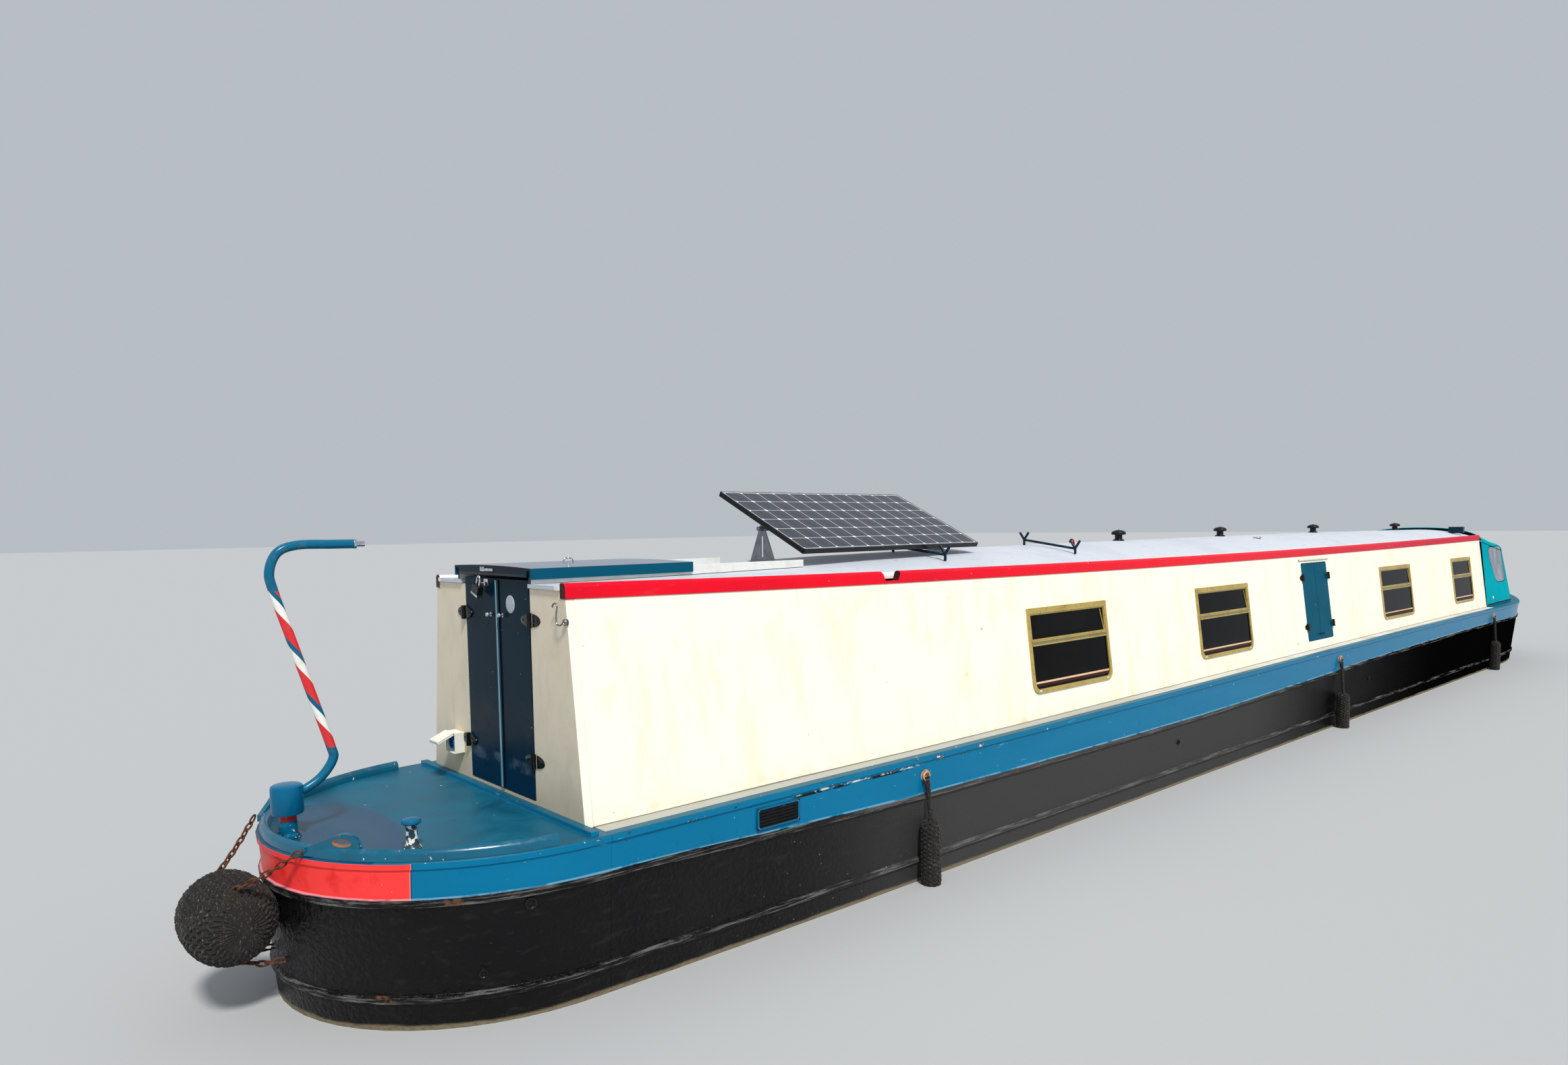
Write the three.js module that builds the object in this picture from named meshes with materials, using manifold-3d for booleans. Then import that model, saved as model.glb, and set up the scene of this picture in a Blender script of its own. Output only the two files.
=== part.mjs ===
// A steel narrowboat of 60 feet with a traditional stern, built in millimetres with +X to the bow and +Z up.
// Inside the boat group X is measured from the rear bulkhead and Z from the waterline.
import * as THREE from 'three';
import { mergeVertices } from 'three/addons/utils/BufferGeometryUtils.js';
import Module from 'manifold-3d';

const wasm = await Module();
wasm.setup();

// Driving dimensions
const GAP = 0.3;
const ROOF_SEAT = 0.6;
const HALF_BEAM = 1040;
const FOOT_INSET = 70;
const DRAFT = 520;
const BASE_THICK = 12;
const BASE_TOP = BASE_THICK - DRAFT;
const HULL_WALL = 55;
const CABIN_WALL = 45;
const CABIN_LENGTH = 14560;
const STERN_LENGTH = 1155;
const STEM_X = 17040;
const RUDDER_X = -1047;
const SHAFT_Z = -265;
const SWIM_AFT = -450;
const SWIM_FORE = 2400;
const DECK_Z = 760;
const CABIN_FLOOR_Z = -400;
const ENGINE_FLOOR_Z = 400;
const ENGINE_FLOOR_END = 2075;
const WELL_FLOOR_Z = 250;
const WELL_END = 15850;
const FORE_SILL_Z = 934;
const WELL_HALF = { aft: 862, fore: 800 };
const FORE_SILL = { length: 76, half: 856, low: 830 };
const BOW_DOLLY_X = 16350;
const BOW_DOLLY_Z = 924;
const STERN_DOLLY = { x: -697, y: -572 };
const STOCK_RADIUS = 24;
const NECK_RADIUS = 21;
const SHAFT_RADIUS = 19;
const STERN_TUBE_RADIUS = 38;
const SWIM_PLATE = 30;
const UXTER_LOW = -12;
const BLADE_HALF = 7;
const SKEG_HALF = 35;
const PIVOT_RADIUS = 14;
const COUNTER_FACE = 50;
const ROOF_THICK = 20;
const ROOF_LAP = 12;
const ROOF_FACETS = 14;
const RAIL_WIDTH = 46;
const RAIL_HEIGHT = 74;
const DOOR_THICK = 40;
const FENDER_RADIUS = 60;

// Sheer lines along the boat: gunwale, top strake, head of the cabin side, eave and crown of the roof
const SHEER = [
  { x: 0, gunwale: 760, strake: 575, head: 1830, eave: 1888, crown: 1889, narrow: 36 },
  { x: 1250, gunwale: 772, strake: 546, head: 1809, eave: 1860, crown: 1914, narrow: 9 },
  { x: 2500, gunwale: 773, strake: 525, head: 1793, eave: 1838, crown: 1949, narrow: 0 },
  { x: 5000, gunwale: 787, strake: 517, head: 1773, eave: 1817, crown: 1967, narrow: 0 },
  { x: 7500, gunwale: 809, strake: 551, head: 1768, eave: 1812, crown: 1974, narrow: 0 },
  { x: 10000, gunwale: 831, strake: 608, head: 1774, eave: 1818, crown: 1976, narrow: 0 },
  { x: 12500, gunwale: 846, strake: 637, head: 1788, eave: 1832, crown: 1970, narrow: 0 },
  { x: 14560, gunwale: 851, strake: 650, head: 1803, eave: 1847, crown: 1958, narrow: 0 },
];
const CABIN_FOOT = 896;
const CABIN_HEAD = 775;
const LOWER_STRAKE_Z = 140;
const STRAKE_OUT = 15;

// Bow stations: the gunwale line and the foot line have their own X and half breadth
const BOW = [
  { topX: CABIN_LENGTH, topHalf: 1040, footX: CABIN_LENGTH, footHalf: 970, gunwale: 851, strake: 650 },
  { topX: 15150, topHalf: 1038, footX: 15080, footHalf: 960, gunwale: 851, strake: 648 },
  { topX: 15620, topHalf: 1018, footX: 15480, footHalf: 922, gunwale: 852, strake: 645 },
  { topX: 16010, topHalf: 962, footX: 15830, footHalf: 846, gunwale: 858, strake: 651 },
  { topX: 16350, topHalf: 862, footX: 16130, footHalf: 728, gunwale: 878, strake: 668 },
  { topX: 16630, topHalf: 712, footX: 16370, footHalf: 570, gunwale: 910, strake: 694 },
  { topX: 16830, topHalf: 520, footX: 16540, footHalf: 392, gunwale: 947, strake: 722 },
  { topX: 16965, topHalf: 292, footX: 16650, footHalf: 206, gunwale: 982, strake: 748 },
  { topX: STEM_X, topHalf: 32, footX: 16710, footHalf: 20, gunwale: 1008, strake: 766 },
];

// Window frames on each side and the hatch in the starboard side, as outer sizes on the cabin side
const WINDOWS = [
  { name: 'galley', x0: 3550, x1: 4580, z0: 951, z1: 1553 },
  { name: 'saloon', x0: 6024, x1: 7039, z0: 949, z1: 1565 },
  { name: 'cabin', x0: 10475, x1: 11518, z0: 963, z1: 1578 },
  { name: 'bow', x0: 13151, x1: 14002, z0: 982, z1: 1588 },
];
const SIDE_HATCH = { x0: 8301, x1: 8946, z0: 902, z1: 1700 };
const WINDOW_FLANGE = 12;

// Vents along the crown, racks and solar panel on the roof
const VENTS = [6160, 8200, 10670, 13570];
const RACKS = [
  { name: 'rack_aft', x: 3050 },
  { name: 'rack_fore', x: 4650 },
];
const PANEL = { x: 2670, y: 6, z: 2139, length: 1820, width: 850, tilt: 26, yaw: 3, rise: 34 };
const FENDERS = [
  { name: 'aft', x: 2205, top: 385, low: -25 },
  { name: 'middle', x: 8700, top: 350, low: -60 },
  { name: 'fore', x: 14300, top: 390, low: -20 },
];

const SIDES = [
  { name: 'starboard', sign: -1 },
  { name: 'port', sign: 1 },
];

// Materials by their look
function paint(color, roughness = 0.4, metalness = 0.1) {
  return { color, roughness, metalness };
}
const LOOKS = {
  bitumen: paint(0x17181a, 0.6),
  teal: paint(0x12587c),
  cream: paint(0xf2ecd2, 0.35),
  stone: paint(0xb9b1a2, 0.5),
  roof: paint(0xc9cdd6, 0.6),
  red: paint(0xc4122a, 0.35),
  darkTeal: paint(0x052838, 0.35),
  steel: paint(0x8d8f92, 0.35, 0.9),
  bronze: paint(0x9a7a3c, 0.35, 0.9),
  black: paint(0x101214, 0.5),
  rope: paint(0x1b1b1d, 0.95, 0),
  timber: paint(0x8a6238, 0.6, 0),
  canvas: paint(0x159aa6, 0.9, 0),
  white: paint(0xe4e4e0, 0.4, 0),
  cells: paint(0x1b2233, 0.15, 0.3),
};

// Turns a closed geometry into a manifold solid, with its shared corners merged
function solid(geometry) {
  const bare = geometry.clone();
  for (const name of Object.keys(bare.attributes)) {
    if (name !== 'position') bare.deleteAttribute(name);
  }
  const merged = mergeVertices(bare, 1e-3);
  const source = merged.index.array;
  const triangles = [];
  for (let i = 0; i < source.length; i += 3) {
    const [a, b, c] = [source[i], source[i + 1], source[i + 2]];
    if (a !== b && b !== c && a !== c) triangles.push(a, b, c);
  }
  const vertProperties = Float32Array.from(merged.attributes.position.array);
  const triVerts = Uint32Array.from(triangles);
  return new wasm.Manifold(new wasm.Mesh({ numProp: 3, vertProperties, triVerts }));
}

function fromSolid(body) {
  const mesh = body.getMesh();
  const geometry = new THREE.BufferGeometry();
  geometry.setAttribute('position', new THREE.BufferAttribute(Float32Array.from(mesh.vertProperties), 3));
  geometry.setIndex(new THREE.BufferAttribute(Uint32Array.from(mesh.triVerts), 1));
  return geometry;
}

function join(...bodies) {
  return wasm.Manifold.union(bodies);
}

// Signed area vector of a closed ring of points
function ringNormal(ring) {
  const normal = new THREE.Vector3();
  ring.forEach((a, i) => {
    const b = ring[(i + 1) % ring.length];
    normal.x += (a[1] - b[1]) * (a[2] + b[2]);
    normal.y += (a[2] - b[2]) * (a[0] + b[0]);
    normal.z += (a[0] - b[0]) * (a[1] + b[1]);
  });
  return normal;
}

function ringCentre(ring) {
  const centre = new THREE.Vector3();
  ring.forEach((point) => centre.add(new THREE.Vector3(...point)));
  return centre.divideScalar(ring.length);
}

// Triangles that close a ring, wound about the ring's own normal
function capTriangles(ring) {
  const normal = ringNormal(ring);
  const size = normal.toArray().map(Math.abs);
  const drop = size.indexOf(Math.max(...size));
  const [u, v] = [[1, 2], [2, 0], [0, 1]][drop];
  const facing = Math.sign(normal.getComponent(drop));
  const flat = ring.map((point) => new THREE.Vector2(point[u], point[v]));
  return THREE.ShapeUtils.triangulateShape(flat, []).map(([a, b, c]) => {
    const ab = flat[b].clone().sub(flat[a]);
    const ac = flat[c].clone().sub(flat[a]);
    return ab.cross(ac) * facing > 0 ? [a, b, c] : [a, c, b];
  });
}

// Closed body through rings of equal point count, listed from one end to the other
function loft(rings) {
  const along = ringCentre(rings[1]).sub(ringCentre(rings[0]));
  const ordered = ringNormal(rings[0]).dot(along) > 0 ? rings : rings.map((ring) => [...ring].reverse());
  const count = ordered[0].length;
  const index = [];
  for (let r = 0; r < ordered.length - 1; r += 1) {
    for (let i = 0; i < count; i += 1) {
      const j = (i + 1) % count;
      const [a, b] = [r * count + i, r * count + j];
      index.push(a, b, b + count, a, b + count, a + count);
    }
  }
  const last = (ordered.length - 1) * count;
  capTriangles(ordered[0]).forEach(([a, b, c]) => index.push(a, c, b));
  capTriangles(ordered[ordered.length - 1]).forEach(([a, b, c]) => index.push(last + a, last + b, last + c));
  const geometry = new THREE.BufferGeometry();
  geometry.setAttribute('position', new THREE.Float32BufferAttribute(ordered.flat(2), 3));
  geometry.setIndex(index);
  return geometry;
}

function box(x0, x1, y0, y1, z0, z1) {
  const geometry = new THREE.BoxGeometry(x1 - x0, y1 - y0, z1 - z0);
  return geometry.translate((x0 + x1) / 2, (y0 + y1) / 2, (z0 + z1) / 2);
}

// Plates with a polygon outline: seen along X as [y, z], along Y as [x, z] and along Z as [x, y]
function plateX(outline, x0, x1) {
  return loft([x0, x1].map((x) => outline.map(([y, z]) => [x, y, z])));
}
function plateY(outline, y0, y1) {
  return loft([y0, y1].map((y) => outline.map(([x, z]) => [x, y, z])));
}
function plateZ(outline, z0, z1) {
  return loft([z0, z1].map((z) => outline.map(([x, y]) => [x, y, z])));
}

function rod(radius, from, to, sides = 16) {
  const start = new THREE.Vector3(...from);
  const span = new THREE.Vector3(...to).sub(start);
  const geometry = new THREE.CylinderGeometry(radius, radius, span.length(), sides);
  const upright = new THREE.Vector3(0, 1, 0);
  const turn = new THREE.Quaternion().setFromUnitVectors(upright, span.clone().normalize());
  const middle = start.addScaledVector(span, 0.5);
  return geometry.applyQuaternion(turn).translate(middle.x, middle.y, middle.z);
}

// Turned body about the vertical through [x, y], from a profile of [radius, z]
function turned(profile, x, y, sides = 16) {
  const points = profile.map(([radius, z]) => new THREE.Vector2(radius, z));
  return new THREE.LatheGeometry(points, sides).rotateX(Math.PI / 2).translate(x, y, 0);
}

function tube(points, radius, steps, sides = 5) {
  const path = new THREE.CatmullRomCurve3(points.map((point) => new THREE.Vector3(...point)));
  const section = new THREE.Shape();
  section.absarc(0, 0, radius, 0, 2 * Math.PI);
  const curveSegments = sides;
  return new THREE.ExtrudeGeometry(section, { steps, curveSegments, extrudePath: path });
}

function roundedOutline(x0, x1, z0, z1, radius, arcSteps = 2) {
  const shape = new THREE.Shape();
  shape.moveTo(x0 + radius, z0);
  shape.lineTo(x1 - radius, z0);
  shape.absarc(x1 - radius, z0 + radius, radius, -Math.PI / 2, 0);
  shape.absarc(x1 - radius, z1 - radius, radius, 0, Math.PI / 2);
  shape.absarc(x0 + radius, z1 - radius, radius, Math.PI / 2, Math.PI);
  shape.absarc(x0 + radius, z0 + radius, radius, Math.PI, 1.5 * Math.PI);
  const points = shape.getPoints(arcSteps).map((point) => [point.x, point.y]);
  return points.filter(([x, z], i) => {
    const [px, pz] = points[(i + 1) % points.length];
    return Math.hypot(px - x, pz - z) > 0.01;
  });
}

// Smooth lines through the tables
function lineThrough(rows, key, name) {
  const at = rows.map((row) => row[key]);
  const values = rows.map((row) => row[name]);
  const curve = new THREE.CubicInterpolant(at, values, 1);
  return (x) => curve.evaluate(x)[0];
}
const gunwaleZ = lineThrough(SHEER, 'x', 'gunwale');
const strakeZ = lineThrough(SHEER, 'x', 'strake');
const headZ = lineThrough(SHEER, 'x', 'head');
const eaveZ = lineThrough(SHEER, 'x', 'eave');
const crownZ = lineThrough(SHEER, 'x', 'crown');

// The hull and the cabin draw in together towards the stern over the first 2.5 metres
function drawIn(x) {
  return SHEER[0].narrow * Math.max(0, 1 - x / SHEER[2].x) ** 2;
}
const beamAt = (x) => HALF_BEAM - drawIn(x) * 0.9;
const footAt = (x) => CABIN_FOOT - drawIn(x);
const headAt = (x) => CABIN_HEAD - drawIn(x);

function outerHalf(x, z) {
  return beamAt(x) - FOOT_INSET * (gunwaleZ(x) - z) / (gunwaleZ(x) - BASE_TOP);
}
function innerHalf(x, z) {
  return outerHalf(x, z) - HULL_WALL;
}
const roofEdge = (x) => headAt(x) - RAIL_WIDTH - GAP;
function roofTopZ(x, y) {
  return eaveZ(x) + (crownZ(x) - eaveZ(x)) * (1 - (y / roofEdge(x)) ** 2);
}
// Stations along hull and cabin, the same for both, with the two ends moved out by a lap
const MIDDLE_STATIONS = [800, 1600, SWIM_FORE, 3700, 5000, 6250, 7500, 8750, 10000, 11250, 12500, 13500];
function cabinStations(aftLap = 0, foreLap = 0) {
  return [-aftLap, ...MIDDLE_STATIONS, CABIN_LENGTH + foreLap];
}
function steps(from, to, count) {
  return Array.from({ length: count + 1 }, (_, i) => from + (to - from) * i / count);
}

// Height of the roof's flat facets at one place, for what stands on it
function roofSeatZ(x, y) {
  const rows = cabinStations(ROOF_LAP, ROOF_LAP);
  const last = rows.findIndex((row) => row > x);
  const [x0, x1] = [rows[last - 1], rows[last]];
  const ends = [x0, x1].map((row) => {
    const grid = steps(-roofEdge(row), roofEdge(row), ROOF_FACETS);
    const j = grid.findIndex((side) => side > y);
    const share = (y - grid[j - 1]) / (grid[j] - grid[j - 1]);
    return roofTopZ(row, grid[j - 1]) * (1 - share) + roofTopZ(row, grid[j]) * share;
  });
  return ends[0] + (ends[1] - ends[0]) * (x - x0) / (x1 - x0);
}

// Outer profile of the hull from foot to gunwale, as [half breadth, z], with its two rubbing strakes
function hullProfile(half, low, strake, gunwale) {
  return [
    [half(low), low],
    [half(LOWER_STRAKE_Z - 20), LOWER_STRAKE_Z - 20],
    [half(LOWER_STRAKE_Z) + STRAKE_OUT, LOWER_STRAKE_Z - 12],
    [half(LOWER_STRAKE_Z) + STRAKE_OUT, LOWER_STRAKE_Z + 12],
    [half(LOWER_STRAKE_Z + 20), LOWER_STRAKE_Z + 20],
    [half(strake - 22), strake - 22],
    [half(strake) + STRAKE_OUT, strake - 14],
    [half(strake) + STRAKE_OUT, strake + 14],
    [half(strake + 22), strake + 22],
    [half(gunwale - 40), gunwale - 40],
    [half(gunwale) + 8, gunwale - 32],
    [half(gunwale) + 8, gunwale - 6],
    [half(gunwale) + 2, gunwale],
  ];
}

// Hull side from the counter to the fore end of the cabin, with the side deck as its top flange
function hullSide(sign) {
  const ring = (x, low) => {
    const half = (z) => outerHalf(x, z);
    const gunwale = gunwaleZ(x);
    const deckEdge = footAt(x) - CABIN_WALL;
    const profile = [
      ...hullProfile(half, low, strakeZ(x), gunwale),
      [deckEdge, gunwale],
      [deckEdge, gunwale - 40],
      [innerHalf(x, gunwale - 70) - 30, gunwale - 40],
      [innerHalf(x, gunwale - 70), gunwale - 70],
      [innerHalf(x, low), low],
    ];
    return profile.map(([y, z]) => [x, sign * y, z]);
  };
  const stations = cabinStations(-COUNTER_FACE - GAP);
  const aft = loft(stations.filter((x) => x <= SWIM_FORE).map((x) => ring(x, 0)));
  const fore = loft(stations.filter((x) => x >= SWIM_FORE).map((x) => ring(x, BASE_TOP + GAP)));
  return join(solid(aft), solid(fore));
}

// Swim: the side plates that curve in to the stern post under a flat uxter plate
function swimHalf(x) {
  const reach = (x - SWIM_AFT) / (SWIM_FORE - SWIM_AFT);
  const full = outerHalf(SWIM_FORE, BASE_TOP) - 8;
  return 30 + (full - 30) * (0.5 - 0.5 * Math.cos(Math.PI * reach));
}

function counterReach(z) {
  return STERN_LENGTH - (outerHalf(0, DECK_Z) - outerHalf(0, z)) * 1.2;
}
function counterOutline(z, grow = 0) {
  const half = outerHalf(0, z) + grow;
  const reach = counterReach(z) + grow;
  return steps(0, Math.PI, 28).map((turn) => [-reach * Math.sin(turn), half * Math.cos(turn)]);
}

function buildSwim() {
  const thick = SWIM_PLATE;
  const stations = steps(SWIM_AFT, SWIM_FORE - GAP, 16);
  const top = UXTER_LOW;
  const sides = SIDES.map(({ sign }) => {
    const outer = stations.map((x) => [x, sign * swimHalf(x)]);
    const inner = stations.map((x) => [x, sign * (swimHalf(x) - thick)]).reverse();
    return solid(plateZ([...outer, ...inner], BASE_TOP + GAP, top));
  });
  const post = solid(box(SWIM_AFT - 50, SWIM_AFT + 40, -28, 28, BASE_TOP + GAP, top));
  const [tubeAft, tubeFore] = [[SWIM_AFT - 80, 0, SHAFT_Z], [SWIM_AFT + 200, 0, SHAFT_Z]];
  const tubeBody = solid(rod(STERN_TUBE_RADIUS, tubeAft, tubeFore));
  const rim = steps(0, SWIM_FORE - GAP, 6);
  const starboard = rim.map((x) => [x, -outerHalf(x, 0)]);
  const port = rim.map((x) => [x, outerHalf(x, 0)]).reverse();
  const stern = counterOutline(0).slice(1, -1);
  const uxter = solid(plateZ([...starboard, ...port, ...stern], top, -GAP));
  const bay = steps(300, SWIM_FORE - 100, 8);
  const hole = [
    ...bay.map((x) => [x, -(swimHalf(x) - thick - 6)]),
    ...bay.map((x) => [x, swimHalf(x) - thick - 6]).reverse(),
  ];
  const bayCut = solid(plateZ(hole, top - 50, 50));
  const stockCut = solid(rod(30, [RUDDER_X, 0, -50], [RUDDER_X, 0, 50]));
  const [boreAft, boreFore] = [[SWIM_AFT - 300, 0, SHAFT_Z], [SWIM_AFT + 500, 0, SHAFT_Z]];
  const shaftCut = solid(rod(SHAFT_RADIUS + 0.6, boreAft, boreFore));
  return join(...sides, post, tubeBody, uxter).subtract(bayCut).subtract(stockCut).subtract(shaftCut);
}

// Base plate with the skeg that carries the heel of the rudder
function buildBasePlate() {
  const lip = 14;
  const swim = steps(SWIM_AFT, SWIM_FORE, 8).map((x) => [x, swimHalf(x) + lip]);
  const bow = BOW.map(({ footX, footHalf }) => [footX, footHalf + lip]);
  const half = [[RUDDER_X - 75, SKEG_HALF], [SWIM_AFT - 60, SKEG_HALF], ...swim, ...bow];
  const outline = [...half, ...half.map(([x, y]) => [x, -y]).reverse()];
  const plate = solid(plateZ(outline, -DRAFT, BASE_TOP));
  const skeg = solid(box(RUDDER_X - 75, SWIM_AFT - 60, -SKEG_HALF, SKEG_HALF, -DRAFT, -495));
  const cup = solid(rod(40, [RUDDER_X, 0, -500], [RUDDER_X, 0, -465]));
  const socket = solid(rod(25, [RUDDER_X, 0, -490], [RUDDER_X, 0, -400]));
  return join(plate, skeg, cup).subtract(socket);
}

// Counter: the round stern above the waterline, decked and solid, with the lip along the foot of the bulkhead
function buildCounter() {
  const strake = strakeZ(0);
  const rows = hullProfile(() => 0, 0, strake, DECK_Z);
  const rings = rows.map(([grow, z]) => {
    const arc = counterOutline(z, grow);
    const wing = outerHalf(0, z) + grow;
    return [[COUNTER_FACE, wing], ...arc, [COUNTER_FACE, -wing]].map(([x, y]) => [x, y, z]);
  });
  const lip = solid(box(-42, -GAP, -(beamAt(0) - 22), beamAt(0) - 22, DECK_Z - 10, DECK_Z + 22));
  const stock = solid(rod(30, [RUDDER_X, 0, -50], [RUDDER_X, 0, DECK_Z + 50]));
  return join(solid(loft(rings)), lip).subtract(stock);
}

// Raised rim round the stern deck, with a fairlead on each quarter
function buildSternRim() {
  const section = [[0, GAP], [-2, 26], [-10, 42], [-24, 49], [-38, 42], [-46, 26], [-48, GAP]];
  const start = Math.asin(200 / STERN_LENGTH);
  const [reach, half] = [STERN_LENGTH - 6, beamAt(0) - 6];
  const rings = steps(start, Math.PI - start, 32).map((turn) => {
    const outward = new THREE.Vector2(-half * Math.sin(turn), reach * Math.cos(turn)).normalize();
    const [x, y] = [-reach * Math.sin(turn), half * Math.cos(turn)];
    return section.map(([out, up]) => [x + outward.x * out, y + outward.y * out, DECK_Z + up]);
  });
  const fairleads = SIDES.map(({ sign }) => {
    const crest = [[-60, 70], [10, 99], [52, 110], [88, 106], [112, 88], [126, 58]];
    const outline = [[-150, 6], [-150, 36], ...crest, [130, 6]];
    const plate = solid(plateY(outline, -11, 11));
    const slot = steps(0, 1.9 * Math.PI, 19).map((a) => [42 + 46 * Math.cos(a), 70 + 20 * Math.sin(a)]);
    const hole = solid(plateY(slot, -30, 30));
    return plate.subtract(hole).rotate([0, 0, sign * 51]).translate([-990, sign * 460, DECK_Z]);
  });
  return join(solid(loft(rings)), ...fairleads);
}

// Bow: decked and solid, with the open well behind the foredeck
function buildBow() {
  const at = (name) => lineThrough(BOW.map((row, i) => ({ ...row, i })), 'i', name);
  const [topX, topHalf, footX, footHalf] = [at('topX'), at('topHalf'), at('footX'), at('footHalf')];
  const [gunwaleLine, strakeLine] = [at('gunwale'), at('strake')];
  const rings = steps(0, BOW.length - 1, 2 * (BOW.length - 1)).map((u) => {
    const gunwale = gunwaleLine(u);
    const low = BASE_TOP + GAP;
    const rise = (z) => Math.min(1, (z - low) / (gunwale - low));
    const half = (z) => footHalf(u) + (topHalf(u) - footHalf(u)) * rise(z);
    const profile = hullProfile(half, low, strakeLine(u), gunwale);
    const camber = 30 * Math.min(1, u / 3);
    const ring = [...profile, [0, gunwale + camber], ...[...profile].reverse().map(([y, z]) => [-y, z])];
    return ring.map(([y, z]) => [footX(u) + (topX(u) - footX(u)) * rise(z) + GAP, -y, z]);
  });
  const { aft, fore } = WELL_HALF;
  const wellAft = CABIN_LENGTH - 50;
  const well = [[wellAft, -aft], [WELL_END, -fore], [WELL_END, fore], [wellAft, aft]];
  const { length, half: sillHalf, low: sillLow } = FORE_SILL;
  const sill = solid(box(WELL_END, WELL_END + length, -sillHalf, sillHalf, sillLow, FORE_SILL_Z));
  const pad = solid(rod(62, [BOW_DOLLY_X, 0, 860], [BOW_DOLLY_X, 0, BOW_DOLLY_Z], 16));
  return join(solid(loft(rings)).subtract(solid(plateZ(well, WELL_FLOOR_Z, 1400))), sill, pad);
}

function buildEngine() {
  const block = solid(box(950, 1850, -280, 280, -400, 340));
  const gearbox = solid(box(700, 960, -110, 110, -390, -150));
  const bearers = SIDES.map(({ sign }) => {
    const [y0, y1] = sign < 0 ? [-240, -200] : [200, 240];
    return solid(box(900, 1900, y0, y1, BASE_TOP + GAP, -390));
  });
  return join(block, gearbox, ...bearers);
}

// Cabin floor: the boards over the engine, a riser and the long floor forward of it
function buildCabinFloor() {
  const slab = (stations, low, high) => loft(stations.map((x) => {
    const half = Math.min(innerHalf(x, low), innerHalf(x, high)) - 1.2;
    return [[x, -half, low], [x, half, low], [x, half, high], [x, -half, high]];
  }));
  const upper = slab(steps(COUNTER_FACE + GAP, ENGINE_FLOOR_END, 4), ENGINE_FLOOR_Z - 20, ENGINE_FLOOR_Z);
  const riser = slab([ENGINE_FLOOR_END - 25, ENGINE_FLOOR_END], 0, ENGINE_FLOOR_Z - 5);
  const half = swimHalf(ENGINE_FLOOR_END) - 45;
  const lowRiser = box(ENGINE_FLOOR_END - 25, ENGINE_FLOOR_END, -half, half, CABIN_FLOOR_Z - 20, 5);
  const bridge = box(ENGINE_FLOOR_END - 25, SWIM_FORE + 60, -half, half, CABIN_FLOOR_Z - 20, CABIN_FLOOR_Z);
  const lower = slab(steps(SWIM_FORE + 10, CABIN_LENGTH, 2), CABIN_FLOOR_Z - 20, CABIN_FLOOR_Z);
  return join(...[upper, riser, lowRiser, bridge, lower].map(solid));
}

function buildPropeller() {
  const aft = SWIM_AFT - 190;
  const hubRadius = 42;
  const shaft = solid(rod(SHAFT_RADIUS, [aft, 0, SHAFT_Z], [SWIM_AFT + 240, 0, SHAFT_Z]));
  const hub = solid(rod(hubRadius, [aft, 0, SHAFT_Z], [aft + 100, 0, SHAFT_Z]));
  const cone = new THREE.ConeGeometry(hubRadius, 50, 16).rotateZ(Math.PI / 2);
  const nose = solid(cone.translate(aft - 25, 0, SHAFT_Z));
  const blades = steps(0, 2, 2).map((i) => {
    const leaf = new THREE.Shape();
    leaf.absellipse(0, 122, 78, 88, 0, 2 * Math.PI);
    const blade = new THREE.ExtrudeGeometry(leaf, { depth: 9, bevelEnabled: false, curveSegments: 8 });
    blade.translate(0, 0, -4.5).rotateY(THREE.MathUtils.degToRad(58));
    blade.rotateX(i * 2 * Math.PI / 3);
    return solid(blade.translate(aft + 50, 0, SHAFT_Z));
  });
  return join(shaft, hub, nose, ...blades);
}

function buildRudder() {
  const stock = solid(rod(STOCK_RADIUS, [RUDDER_X, 0, -488], [RUDDER_X, 0, 905]));
  const blade = [[130, -452], [130, -60], [70, -34], [-370, -34], [-430, -90], [-440, -380], [-400, -452]];
  const outline = blade.map(([x, z]) => [RUDDER_X + x, z]);
  return join(stock, solid(plateY(outline, -BLADE_HALF, BLADE_HALF)));
}

// Swan neck: the cup over the rudder stock and the bent tube up to the hand
function buildSwanNeck() {
  const profile = [[0, 870], [64, 870], [70, 876], [70, 998], [60, 1008], [0, 1008]];
  const cup = solid(turned(profile, RUDDER_X, 0, 28));
  const bore = solid(rod(STOCK_RADIUS + 0.5, [RUDDER_X, 0, 860], [RUDDER_X, 0, 908]));
  const path = [
    [-1010, 0, 962], [-955, 0, 976], [-888, 0, 1020], [-838, 0, 1092], [-846, 0, 1156],
    [-917, 0, 1402], [-988, 0, 1648], [-1059, 0, 1894], [-1072, 0, 1985], [-1035, 0, 2068],
    [-950, 0, 2100], [-800, 0, 2101], [-647, 0, 2100],
  ];
  return join(cup, solid(tube(path, NECK_RADIUS, 40))).subtract(bore);
}

function buildRudderBearing() {
  const flange = [[0, DECK_Z + GAP], [52, DECK_Z + GAP], [52, DECK_Z + 16]];
  const body = [...flange, [41, DECK_Z + 22], [37, 866], [0, 866]];
  const bore = solid(rod(STOCK_RADIUS + 1, [RUDDER_X, 0, 700], [RUDDER_X, 0, 900]));
  return solid(turned(body, RUDDER_X, 0)).subtract(bore);
}

// Dolly: a turned mooring post with a disc on top
function buildDolly(x, y, deck) {
  const post = [[0, 0], [41, 0], [38, 14], [26, 30], [25, 108]];
  const profile = [...post, [38, 116], [42, 122], [42, 130], [34, 137], [0, 140]];
  return turned(profile.map(([radius, z]) => [radius, z + deck]), x, y);
}

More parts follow.
